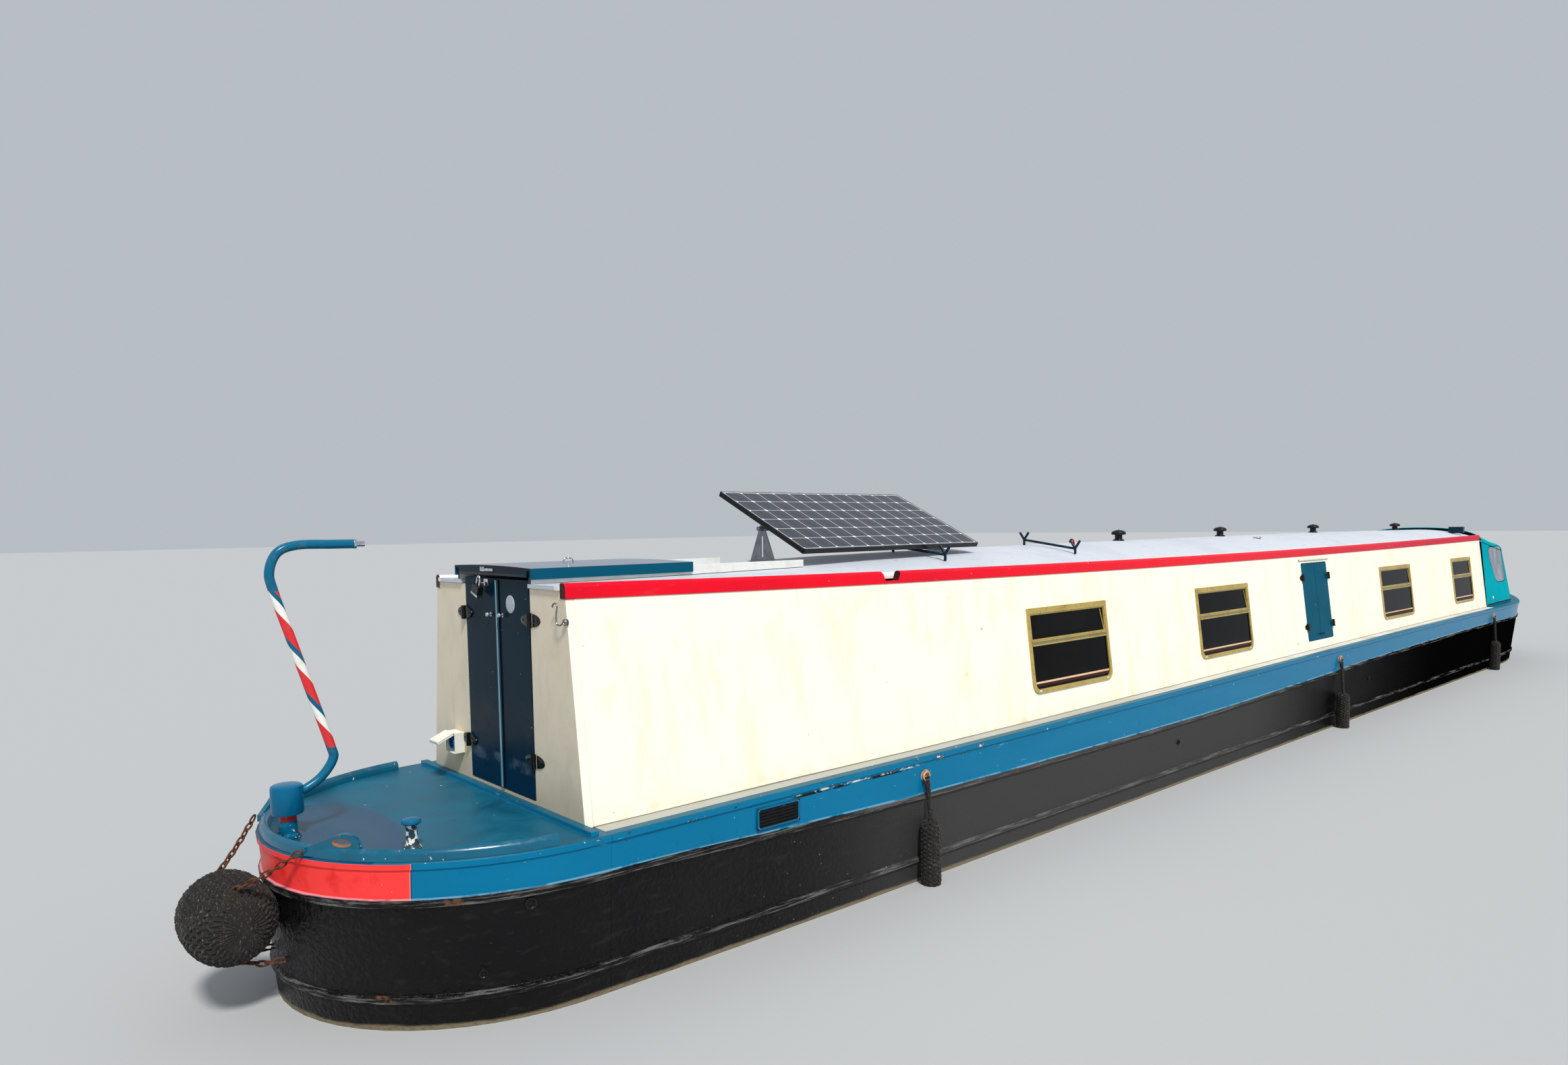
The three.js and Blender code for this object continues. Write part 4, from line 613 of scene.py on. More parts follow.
def brass(name, colour, shade):
    coat = Coat(name, colour, 0.35, 0.5)
    coat.cloud((0.42, 0.7, 0.7), coat.noise(9.0, 5.0, stretch=(0.5, 1, 1)), shade, 0.42)
    coat.cloud((0.58, 0.75, 0.6), coat.noise(34.0, 5.0), rgb(120, 100, 60), 0.6)
    coat.cloud((0.68, 0.74), coat.noise(60.0, 3.0), rgb(232, 208, 140), 0.2)
    coat.relief(coat.noise(150.0, 3.0), 0.0002)
    return coat.done()


# Near-opaque dark brown glass: painted shade of the dark inside behind it.
def interior_shade_glass():
    coat = Coat("interior_shade_glass", rgb(9, 8, 7), 0.05, gloss=0.08, Alpha=0.94)
    coat.cloud((0.5, 0.75, 0.5), coat.noise(4.0, 5.0), rgb(22, 20, 18), 0.12)
    coat.relief(coat.noise(3.0, 1.0), 0.0006)
    return coat.done()


def lay_clear_windows(coat):
    """A clear window with a bound rim in each side of the cover."""
    x, z = boat(coat)
    up = coat.sub(z, 1.16)
    share = coat.div(coat.sub(x, CRATCH_AFT["x"]), COVER_LENGTH)
    left, right = coat.sub(0.547, coat.mul(up, 0.55)), coat.add(0.93, coat.mul(up, 0.10))
    across = coat.div(coat.sub(share, left), coat.sub(right, left))
    sideways = coat.math("POWER", coat.absolute(coat.sub(coat.mul(across, 2.0), 1.0)), 6.0)
    upward = coat.math("POWER", coat.absolute(coat.sub(coat.mul(up, 3.70), 1.0)), 6.0)
    rim = coat.add(sideways, upward)
    wall = coat.step(coat.absolute(coat.y), 0.50, 0.51)
    coat.layer(coat.both(wall, coat.below(rim, 0.98, 1.0)), rgb(16, 66, 76), 0.7)
    clear = coat.both(wall, coat.below(rim, 0.74, 0.76))
    coat.layer(clear, rgb(142, 154, 168), 0.12, gloss=0.5)
    milky = coat.step(coat.noise(5.0, 5.0, stretch=(1, 1, 0.5)), 0.42, 0.7)
    coat.layer(coat.both(clear, milky), rgb(176, 184, 196))
    coat.feed(coat.shader.inputs["Alpha"], coat.sub(1.0, coat.mul(clear, 0.3)))


def canvas(name, colour, faded, windows=False):
    """Woven canvas, with a clear window let into each side where it is asked for."""
    coat = Coat(name, colour, 0.9, gloss=0.0)
    coat.cloud((0.4, 0.7, 0.7), coat.noise(2.6, 6.0, 0.6), faded, 0.94)
    if windows:
        lay_clear_windows(coat)
    weave_a = coat.math("SINE", coat.mul(coat.x, 2600.0))
    weave_b = coat.math("SINE", coat.mul(coat.add(coat.z, coat.mul(coat.y, 0.7)), 2600.0))
    coat.relief(coat.mul(weave_a, weave_b), 0.00025)
    coat.relief(coat.noise(5.5, 3.0, distortion=0.7), 0.006)
    return coat.done()


def rope_black(name="rope_black", colour=rgb(38, 36, 34), pale=rgb(140, 134, 126)):
    coat = Coat(name, colour, 0.92, gloss=0.2, Sheen_Weight=0.1)
    fibre = coat.noise(120.0, 4.0, 0.7, stretch=(1, 1, 0.35))
    # Pale flecks on the strands: sun-bleached fibres, and painted highlights on the knots.
    coat.layer(coat.mul(coat.step(fibre, 0.56, 0.74), 0.8), pale, 0.85)
    coat.cloud((0.5, 0.75, 0.5), coat.noise(16.0, 4.0), rgb(62, 56, 48), 0.95)
    coat.relief(fibre, 0.0022)
    return coat.done()


def rusty_chain():
    coat = Coat("rusty_chain", rgb(108, 70, 52), 0.72, 0.4)
    coat.cloud((0.42, 0.62), coat.noise(60.0, 5.0), rgb(74, 44, 32), 0.85, 0.1)
    coat.cloud((0.62, 0.74), coat.noise(34.0, 4.0), rgb(160, 120, 92), 0.6, 0.6)
    coat.relief(coat.noise(300.0, 4.0), 0.0008)
    return coat.done()


def boards(name, colour, dark, width=0.11, gloss=0.45):
    coat = Coat(name, colour, gloss)
    grain = coat.noise(8.0, 6.0, 0.62, stretch=(0.3, 4, 3), distortion=0.4)
    coat.layer(coat.step(grain, 0.38, 0.7), dark, gloss + 0.1)
    seam = coat.math("PINGPONG", coat.y, width / 2)
    coat.layer(coat.below(seam, 0.001, 0.0025), rgb(40, 26, 16), 0.8)
    coat.relief(grain, 0.0005)
    return coat.done()


def plastic(name, colour, shade, roughness=0.4):
    coat = Coat(name, colour, roughness)
    coat.cloud((0.45, 0.75, 0.5), coat.noise(12.0, 5.0), shade, roughness + 0.15)
    coat.cloud((0.66, 0.78, 0.5), coat.noise(40.0, 4.0), rgb(120, 104, 80), 0.7)
    coat.relief(coat.noise(220.0, 2.0), 0.0001)
    return coat.done()


def bronze():
    coat = Coat("bronze", rgb(150, 112, 58), 0.36, 1.0)
    coat.cloud((0.45, 0.7), coat.noise(12.0, 5.0), rgb(96, 84, 56), 0.55, 0.8)
    coat.cloud((0.62, 0.76), coat.noise(26.0, 5.0), rgb(70, 104, 84), 0.8, 0.2)
    coat.relief(coat.noise(90.0, 3.0), 0.0004)
    return coat.done()


def engine_paint():
    coat = Coat("engine_paint", rgb(56, 92, 78), 0.4)
    coat.cloud((0.5, 0.75), coat.noise(6.0, 5.0), rgb(40, 60, 54), 0.6)
    coat.cloud((0.62, 0.75), coat.noise(19.0, 4.0), rgb(28, 26, 24), 0.3)
    coat.relief(coat.noise(60.0, 3.0), 0.0006)
    return coat.done()


def striped_paint():
    """Red, white and teal stripes that wind up the straight of the swan neck."""
    coat = Coat("swan_neck_stripes", rgb(2, 98, 132), 0.22)
    x, z = boat(coat)
    period, low, high = 0.2575, 1.150, 1.896
    foot_x, lean = -0.8443, -0.2886
    centre = coat.add(coat.mul(coat.sub(z, low), lean), foot_x)
    angle = coat.math("ARCTAN2", coat.y, coat.sub(x, centre))
    winding = coat.add(coat.div(coat.sub(z, low), period), coat.mul(angle, 0.5 / math.pi))
    turn = coat.math("FRACT", coat.add(winding, 3.36))
    wave = coat.mul(coat.sub(coat.noise(30.0), 0.5), 0.02)
    turn = coat.add(turn, wave)
    straight = coat.within(coat.add(z, wave), low, high, 0.0006)
    coat.layer(coat.both(straight, coat.below(turn, 0.480, 0.486)), rgb(226, 52, 56), 0.25)
    coat.layer(coat.both(straight, coat.within(turn, 0.483, 0.806, 0.006)), rgb(246, 244, 238), 0.25)
    coat.cloud((0.5, 0.75, 0.25), coat.noise(24.0, 5.0), rgb(120, 116, 104), 0.4)
    coat.cloud((0.72, 0.735), coat.noise(38.0, 4.0), rgb(120, 84, 62), 0.7)
    coat.relief(coat.noise(80.0, 2.0), 0.00015)
    return coat.done()


CELL_COLUMNS, CELL_ROWS = 12, 6


def solar_cells():
    """Dark cells with cut corners between thin white lines, on the panel's own UV map."""
    coat = Coat("solar_cells", rgb(20, 23, 36), 0.14, gloss=0.45)
    u, v = coat.parts(coat.flat)[:2]
    across, along = coat.mul(u, float(CELL_COLUMNS)), coat.mul(v, float(CELL_ROWS))
    from_u, from_v = coat.math("PINGPONG", across, 0.5), coat.math("PINGPONG", along, 0.5)
    tone = coat.noise(1.0, 1.0, place=coat.mapped((CELL_COLUMNS, CELL_ROWS, 1), place=coat.flat))
    coat.layer(coat.step(tone, 0.35, 0.7), rgb(30, 34, 50), 0.2)
    fingers = coat.math("PINGPONG", across, 0.25)
    bus = coat.below(coat.absolute(coat.sub(fingers, 0.17)), 0.004, 0.008)
    coat.layer(coat.mul(bus, 0.55), rgb(120, 124, 134), 0.3)
    lines = coat.below(coat.math("MINIMUM", from_u, from_v), 0.012, 0.018)
    coat.layer(lines, rgb(214, 216, 220), 0.35)
    corner = coat.below(coat.add(from_u, from_v), 0.105, 0.120)
    coat.layer(corner, rgb(236, 238, 240), 0.3)
    coat.relief(coat.noise(2.0, 1.0), 0.0003)
    return coat.done()


LOOK = {
    "hull": hull_paint("hull_paint", LINING),
    "bow": hull_paint("bow_paint", DECK_TEAL),
    "cream": cabin_cream(),
    "stone": bulkhead_stone(),
    "roof": roof_grey(),
    "rail": rail_red(),
    "runner": runner_paint(),
    "bearing": bearing_paint(),
    "teal": gloss_paint("teal_enamel", rgb(1, 102, 142), rgb(1, 86, 122)),
    "leaf_teal": leaf_teal(),
    "dark_teal": gloss_paint("dark_teal_enamel", DARK_TEAL, rgb(2, 50, 72), 0.18, 0.74),
    "rim": gloss_paint("rim_teal", rgb(5, 92, 120), rgb(4, 74, 100), 0.18, 0.69, gloss=0.45),
    "hatch": hatch_teal(),
    "door": door_teal(),
    "steel": worn_steel(),
    "chrome": worn_steel("chrome", rgb(214, 216, 220), rgb(150, 150, 148), 0.12),
    "galvanised": worn_steel("galvanised", rgb(140, 142, 146), rgb(120, 120, 118), 0.5),
    "brass": brass("window_brass", rgb(206, 180, 104), rgb(172, 144, 80)),
    "dull_brass": brass("dull_brass", rgb(150, 140, 100), rgb(126, 114, 76)),
    "glass": interior_shade_glass(),
    # Dark canvas of the eaves seams: canvas, darkened as painted shade along the eaves.
    "trim": canvas("canvas_seam_shade", rgb(14, 46, 52), rgb(30, 64, 70)),
    "foot_trim": canvas("canvas_foot_trim", rgb(60, 40, 60), rgb(76, 56, 76)),
    "rope": rope_black(),
    "chain": rusty_chain(),
    "floor_boards": boards("floor_boards", rgb(176, 128, 78), rgb(126, 84, 48)),
    "cratch_boards": boards("cratch_boards", rgb(150, 100, 54), rgb(104, 66, 34), 5.0, 0.3),
    "sill_wood": boards("sill_wood", rgb(236, 196, 160), rgb(212, 166, 128), 5.0, 0.35),
    "dark_bead": boards("dark_bead", rgb(58, 24, 18), rgb(40, 18, 14), 5.0, 0.5),
    "white_plastic": plastic("white_plastic", rgb(240, 238, 226), rgb(214, 208, 188)),
    "blue_plastic": plastic("blue_plastic", rgb(40, 110, 180), rgb(30, 90, 150)),
    "white_metal": plastic("white_metal", rgb(228, 228, 224), rgb(196, 194, 186), 0.35),
    "rail_olive": plastic("rail_olive", rgb(76, 68, 48), rgb(60, 54, 38), 0.4),
    "black": plastic("black_metal", rgb(18, 19, 20), rgb(40, 40, 40), 0.35),
    "rubber": plastic("rubber", rgb(16, 16, 16), rgb(34, 34, 32), 0.7),
    "frame_black": plastic("frame_black", rgb(14, 15, 17), rgb(30, 30, 32), 0.3),
    "bronze": bronze(),
    "engine": engine_paint(),
    "stripes": striped_paint(),
    "eye": plastic("worn_eye", rgb(200, 160, 130), rgb(150, 110, 84), 0.6),
    "bush": plastic("bush_brown", rgb(150, 104, 76), rgb(96, 70, 56), 0.5),
    # White patches on the posts: worn paint, and painted reflections.
    "post": gloss_paint("post_wear_and_glints", rgb(10, 40, 54), rgb(60, 84, 92), 0.25, 0.52, rgb(236, 236, 230)),
    "cells": solar_cells(),
}


def new_group(name):
    """An empty geometry node group, with its input and output nodes."""
    group = bpy.data.node_groups.new(name, "GeometryNodeTree")
    for way in ("INPUT", "OUTPUT"):
        group.interface.new_socket("Geometry", in_out=way, socket_type="NodeSocketGeometry")
    return group, group.nodes.new("NodeGroupInput"), group.nodes.new("NodeGroupOutput")


def corner_weights():
    """Geometry nodes that mark real corners for the bevel, but not where hull sections butt together."""
    group, start, end = new_group("corner_weights")

    def node(kind, operation, *inputs):
        made = group.nodes.new(kind)
        made.operation = operation
        if kind == "FunctionNodeCompare":
            made.data_type = "FLOAT"
        for socket, value in zip([s for s in made.inputs if s.enabled], inputs):
            if isinstance(value, bpy.types.NodeSocket):
                group.links.new(value, socket)
            else:
                socket.default_value = value
        return made.outputs[0]
    angle = group.nodes.new("GeometryNodeInputMeshEdgeAngle")
    place = group.nodes.new("GeometryNodeInputPosition")
    across = group.nodes.new("ShaderNodeSeparateXYZ")
    group.links.new(place.outputs[0], across.inputs[0])
    chosen = node("FunctionNodeCompare", "GREATER_THAN", angle.outputs[0], math.radians(38))
    for joint in HULL_JOINTS:
        past = node("ShaderNodeMath", "SUBTRACT", across.outputs[0], AFT + joint)
        away = node("ShaderNodeMath", "ABSOLUTE", past)
        apart = node("FunctionNodeCompare", "GREATER_THAN", away, 0.001)
        chosen = node("FunctionNodeBooleanMath", "AND", chosen, apart)
    store = group.nodes.new("GeometryNodeStoreNamedAttribute")
    store.data_type, store.domain = "FLOAT", "EDGE"
    store.inputs["Name"].default_value = "bevel_weight_edge"
    group.links.new(start.outputs[0], store.inputs["Geometry"])
    group.links.new(chosen, store.inputs["Value"])
    group.links.new(store.outputs[0], end.inputs[0])
    return group


def rounded_edges():
    """Geometry nodes that shade a surface smooth apart from its real corners."""
    group, start, end = new_group("smooth_but_corners")
    smooth = group.nodes.new("GeometryNodeSetShadeSmooth")
    smooth.domain = "FACE"
    corners = group.nodes.new("GeometryNodeSetShadeSmooth")
    corners.domain = "EDGE"
    corners.inputs["Shade Smooth"].default_value = False
    angle = group.nodes.new("GeometryNodeInputMeshEdgeAngle")
    sharper = group.nodes.new("FunctionNodeCompare")
    sharper.data_type, sharper.operation = "FLOAT", "GREATER_THAN"
    sharper.inputs[1].default_value = math.radians(50)
    group.links.new(start.outputs[0], smooth.inputs["Geometry"])
    group.links.new(smooth.outputs[0], corners.inputs["Geometry"])
    group.links.new(angle.outputs[0], sharper.inputs[0])
    group.links.new(sharper.outputs[0], corners.inputs["Selection"])
    group.links.new(corners.outputs[0], end.inputs[0])
    return group


SMOOTH_BUT_CORNERS = rounded_edges()
CORNER_WEIGHTS = corner_weights()


def bevel_corners(piece, width, method):
    corners = piece.modifiers.new("corners", "BEVEL")
    corners.width = width
    corners.segments = 2
    corners.limit_method = method
    return corners


def dress(node, look):
    """Gives a CAD node its finish, with soft corners and smooth curves."""
    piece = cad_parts[node]
    piece.data.materials.clear()
    piece.data.materials.append(LOOK[look])
    weld = piece.modifiers.new("weld", "WELD")
    weld.merge_threshold = 0.00005
    piece.modifiers.new("marks", "NODES").node_group = CORNER_WEIGHTS
    bevel_corners(piece, 0.002, "WEIGHT")
    piece.modifiers.new("smooth", "NODES").node_group = SMOOTH_BUT_CORNERS
    piece.modifiers.new("flat_faces", "WEIGHTED_NORMAL").keep_sharp = True


# Skins of the CAD nodes that stay as they are
SIDES = {"starboard": -1, "port": 1}
NODE_LOOKS = {
    "base_plate": "hull", "swim": "hull", "rudder": "hull", "counter": "bow", "bow": "bow",
    "stern_rim": "rim", "rudder_bearing": "bearing", "engine": "engine", "cabin_floor": "floor_boards",
    "propeller": "bronze", "rear_bulkhead": "stone", "front_bulkhead": "stone",
    "roof": "roof", "roof_aft": "roof",
    "sliding_hatch": "hatch", "side_hatch_door_aft": "leaf_teal", "side_hatch_door_fore": "leaf_teal",
    "solar_bracket_aft": "galvanised", "solar_bracket_fore": "galvanised", "rack_aft": "dark_teal",
    "rack_fore": "dark_teal", "roof_lamp": "dark_teal", "cratch_board": "cratch_boards",
}
SIDE_NODE_LOOKS = {
    "hull_side": "hull", "cabin_side": "cream", "handrail": "rail", "hatch_runner": "runner",
    "rear_door": "door", "front_door": "door",
}
for node_name, look_name in NODE_LOOKS.items():
    dress(node_name, look_name)
for node_name, look_name in SIDE_NODE_LOOKS.items():
    for side in SIDES:
        dress(f"{node_name}_{side}", look_name)


def link(name, mesh, looks, body, replaces=()):
    piece = bpy.data.objects.new(name, mesh)
    bpy.context.scene.collection.objects.link(piece)
    for look in looks:
        mesh.materials.append(LOOK[look])
    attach(piece, body)
    if replaces:
        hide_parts(*replaces)
    return piece


def finish_piece(name, bm, looks, body, replaces=(), bevel=0.0, smooth=38, recalc=True):
    """Turns a bmesh into a piece of the boat, with its normals, corners and finish."""
    bmesh.ops.remove_doubles(bm, verts=bm.verts, dist=0.00002)
    if recalc:
        bmesh.ops.recalc_face_normals(bm, faces=bm.faces)
    mesh = bpy.data.meshes.new(name)
    bm.to_mesh(mesh)
    bm.free()
    mesh.polygons.foreach_set("use_smooth", [True] * len(mesh.polygons))
    mesh.set_sharp_from_angle(angle=math.radians(smooth))
    piece = link(name, mesh, looks, body, replaces)
    if bevel:
        bevel_corners(piece, bevel, "ANGLE").angle_limit = math.radians(40)
        piece.modifiers.new("flat_faces", "WEIGHTED_NORMAL").keep_sharp = True
    return piece


def around(count):
    """Angles of a full turn in equal steps."""
    return [2 * math.pi * i / count for i in range(count)]


def half_around(count):
    """Angles of a half turn in equal steps, both ends with them."""
    return [math.pi * i / count for i in range(count + 1)]


def oval(centre, across, up, count):
    """Ring of points round a centre, from the vectors of its two half axes."""
    return [centre + across * math.cos(a) + up * math.sin(a) for a in around(count)]


def screw_head(radius, rim, height):
    return [(0, 0), (radius, 0), (radius - 0.0005, rim), (0, height)]


def facing(direction):
    """Rotation that turns +Z to a direction."""
    return Vector((0, 0, 1)).rotation_difference(Vector(direction)).to_matrix().to_4x4()


def add_block(bm, centre, size, turn=None, look=0):
    place = Matrix.Translation(centre) @ (turn or Matrix.Identity(4)) @ Matrix.Diagonal((*size, 1.0))
    made = bmesh.ops.create_cube(bm, size=1.0, matrix=place)
    for face in {f for v in made["verts"] for f in v.link_faces}:
        face.material_index = look
    return made["verts"]


def add_rod(bm, start, end, radius, sides=20, look=0, end_radius=None):
    span = Vector(end) - Vector(start)
    place = Matrix.Translation((Vector(start) + Vector(end)) / 2) @ facing(span)
    made = bmesh.ops.create_cone(
        bm, cap_ends=True, segments=sides, radius1=radius,
        radius2=radius if end_radius is None else end_radius, depth=span.length, matrix=place)
    for face in {f for v in made["verts"] for f in v.link_faces}:
        face.material_index = look
    return made["verts"]


def add_turned(bm, profile, base, axis=(0, 0, 1), sides=48, look=0):
    """Adds a body turned about an axis through base, from (radius, height) pairs."""
    turn = facing(axis)
    spots = [Vector(base) + turn @ Vector((r, 0, h)) for r, h in profile]
    before = set(bm.faces)
    verts = [bm.verts.new(spot) for spot in spots]
    edges = [bm.edges.new(pair) for pair in zip(verts, verts[1:])]
    bmesh.ops.spin(
        bm, geom=verts + edges, cent=base, axis=turn @ Vector((0, 0, 1)), angle=2 * math.pi,
        steps=sides, use_merge=True)
    for face in set(bm.faces) - before:
        face.material_index = look


def add_plate(bm, outline, thickness, look=0):
    """Adds a flat plate from a ring of points, given its thickness as a vector."""
    verts = [bm.verts.new(p) for p in outline]
    face = bm.faces.new(verts)
    face.material_index = look
    made = bmesh.ops.extrude_face_region(bm, geom=[face])
    moved = [v for v in made["geom"] if isinstance(v, bmesh.types.BMVert)]
    bmesh.ops.translate(bm, verts=moved, vec=thickness)
    for v in moved:
        for f in v.link_faces:
            f.material_index = look
    return moved


def tubes(paths, radius, closed=False, ring=2, sizes=None):
    """Mesh of round tubes along lists of points, with a relative size at each point."""
    curve = bpy.data.curves.new("tubes", "CURVE")
    curve.dimensions = "3D"
    curve.bevel_depth = radius
    curve.bevel_resolution = ring
    curve.use_fill_caps = True
    for path in paths:
        spline = curve.splines.new("POLY")
        spline.points.add(len(path) - 1)
        for i, (point, spot) in enumerate(zip(spline.points, path)):
            point.co = (*spot, 1.0)
            point.radius = sizes[i] if sizes else 1.0
        spline.use_cyclic_u = closed
    holder = bpy.data.objects.new("tubes", curve)
    mesh = bpy.data.meshes.new_from_object(holder)
    bpy.data.objects.remove(holder)
    bpy.data.curves.remove(curve)
    return mesh


def add_tubes(bm, paths, radius, closed=False, ring=2, look=0, sizes=None):
    count = len(bm.faces)
    mesh = tubes(paths, radius, closed, ring, sizes)
    bm.from_mesh(mesh)
    bpy.data.meshes.remove(mesh)
    bm.faces.ensure_lookup_table()
    for face in bm.faces[count:]:
        face.material_index = look


def smooth_path(points, per_span=8):
    """Points along a smooth line through all the given ones."""
    points = [Vector(p) for p in points]
    padded = [2 * points[0] - points[1], *points, 2 * points[-1] - points[-2]]
    path = []
    for a, b, c, d in zip(padded, padded[1:], padded[2:], padded[3:]):
        for i in range(per_span):
            t = i / per_span
            path.append(0.5 * (2 * b + (c - a) * t + (2 * a - 5 * b + 4 * c - d) * t * t
                               + (3 * b - a - 3 * c + d) * t ** 3))
    return [*path, points[-1]]


def tree_of(node):
    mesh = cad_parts[node].data
    return BVHTree.FromPolygons([v.co for v in mesh.vertices], [p.vertices[:] for p in mesh.polygons])


TREES = {f"{name}_{side}": tree_of(f"{name}_{side}") for name in ("hull_side", "cabin_side") for side in SIDES}
TREES.update({name: tree_of(name) for name in ("counter", "roof", "rear_bulkhead")})


def on_side(node, x, z, sign):
    """Place on a side, seen square from outside, and the way that the surface faces there."""
    return TREES[node].ray_cast(at(x, sign * 3.0, z), Vector((0, -sign, 0)))[:2]


def on_top(node, x, y):
    return TREES[node].ray_cast(at(x, y, 4.0), Vector((0, 0, -1)))[0]


# Swan neck, its cup and the hand grip
NECK_PATH = [
    (-1.010, 0, 0.962), (-0.955, 0, 0.976), (-0.888, 0, 1.020), (-0.838, 0, 1.092), (-0.846, 0, 1.156),
    (-0.917, 0, 1.402), (-0.988, 0, 1.648), (-1.059, 0, 1.894), (-1.072, 0, 1.985), (-1.035, 0, 2.068),
    (-0.950, 0, 2.100), (-0.800, 0, 2.101), (-0.700, 0, 2.1005),
]


def make_swan_neck():
    bm = bmesh.new()
    add_tubes(bm, [smooth_path([at(*p) for p in NECK_PATH])], 0.0215, ring=6)
    profile = [
        (0.0, 0.870), (0.060, 0.870), (0.0665, 0.8725), (0.0695, 0.879), (0.070, 0.990), (0.067, 1.001),
        (0.060, 1.0055), (0.030, 1.0075), (0.0, 1.008),
    ]
    add_turned(bm, profile, at(RUDDER_X, 0, 0), sides=64, look=1)
    grip_start = at(-0.703, 0, 2.1005)
    add_rod(bm, grip_start, grip_start + Vector((0.052, 0, 0)), 0.014, look=2)
    add_turned(bm, [(0, 0), (0.0225, 0), (0.0235, 0.004), (0.0235, 0.012), (0.016, 0.016), (0, 0.016)],
               grip_start, (1, 0, 0), look=2)
    finish_piece("swan_neck_tube", bm, ["stripes", "teal", "chrome"], "rudder", ["swan_neck"])


def make_bearing_bolts():
    bm = bmesh.new()
    for i in range(4):
        turn = math.pi / 4 + i * math.pi / 2
        centre = at(RUDDER_X + 0.0465 * math.cos(turn), 0.0465 * math.sin(turn), 0.777)
        add_rod(bm, centre, centre + Vector((0, 0, 0.010)), 0.0055, sides=6)
    finish_piece("bearing_bolts", bm, ["steel"], "boat")


def make_fairlead_bushes():
    """A bush round the eye of each fairlead."""
    for side, sign in SIDES.items():
        along = Vector((math.cos(math.radians(51)), sign * math.sin(math.radians(51)), 0))
        eye = at(-0.990, sign * 0.460, 0.830) + along * 0.042
        bm = bmesh.new()
        add_tubes(bm, [oval(eye, along * 0.045, Vector((0, 0, 0.019)), 40)], 0.0095, closed=True)
        finish_piece(f"fairlead_bush_{side}", bm, ["bush"], "boat")


def make_dolly(name, x, y, deck):
    bm = bmesh.new()
    base = at(x, y, deck + GAP)
    add_turned(bm, [(0, 0), (0.039, 0), (0.041, 0.003), (0.038, 0.011), (0.031, 0.018), (0.0265, 0.028),
                    (0.0245, 0.055), (0.024, 0.095), (0.028, 0.108), (0.033, 0.115)], base)
    add_turned(bm, [(0, 0.110), (0.036, 0.113), (0.0415, 0.118), (0.0425, 0.125), (0.038, 0.133),
                    (0.024, 0.138), (0, 0.140)], base, look=1)
    finish_piece(name + "_post", bm, ["post", "teal"], "boat", [name])


make_swan_neck()
make_bearing_bolts()
make_fairlead_bushes()
make_dolly("stern_dolly", -0.697, -0.572, 0.760)
make_dolly("bow_dolly", 16.350, 0.0, 0.924)


# Plaited rope fenders
def plait(centre, normal, binormal, radius, strands, turns, thick, samples=96):
    """Paths of rope strands that wind both ways round a core, each over and under the others."""
    paths = []
    for way in (1, -1):
        for k in range(strands):
            path = []
            for i in range(samples + 1):
                t = i / samples
                wound = 2 * math.pi * turns * t
                angle = way * wound + 2 * math.pi * k / strands
                lift = way * 0.45 * thick * math.cos(strands * wound)
                out = radius(t) - thick + lift
                path.append(centre(t) + (normal(t) * math.cos(angle) + binormal(t) * math.sin(angle)) * out)
            paths.append(path)
    return paths


FENDER_RADIUS = 0.060


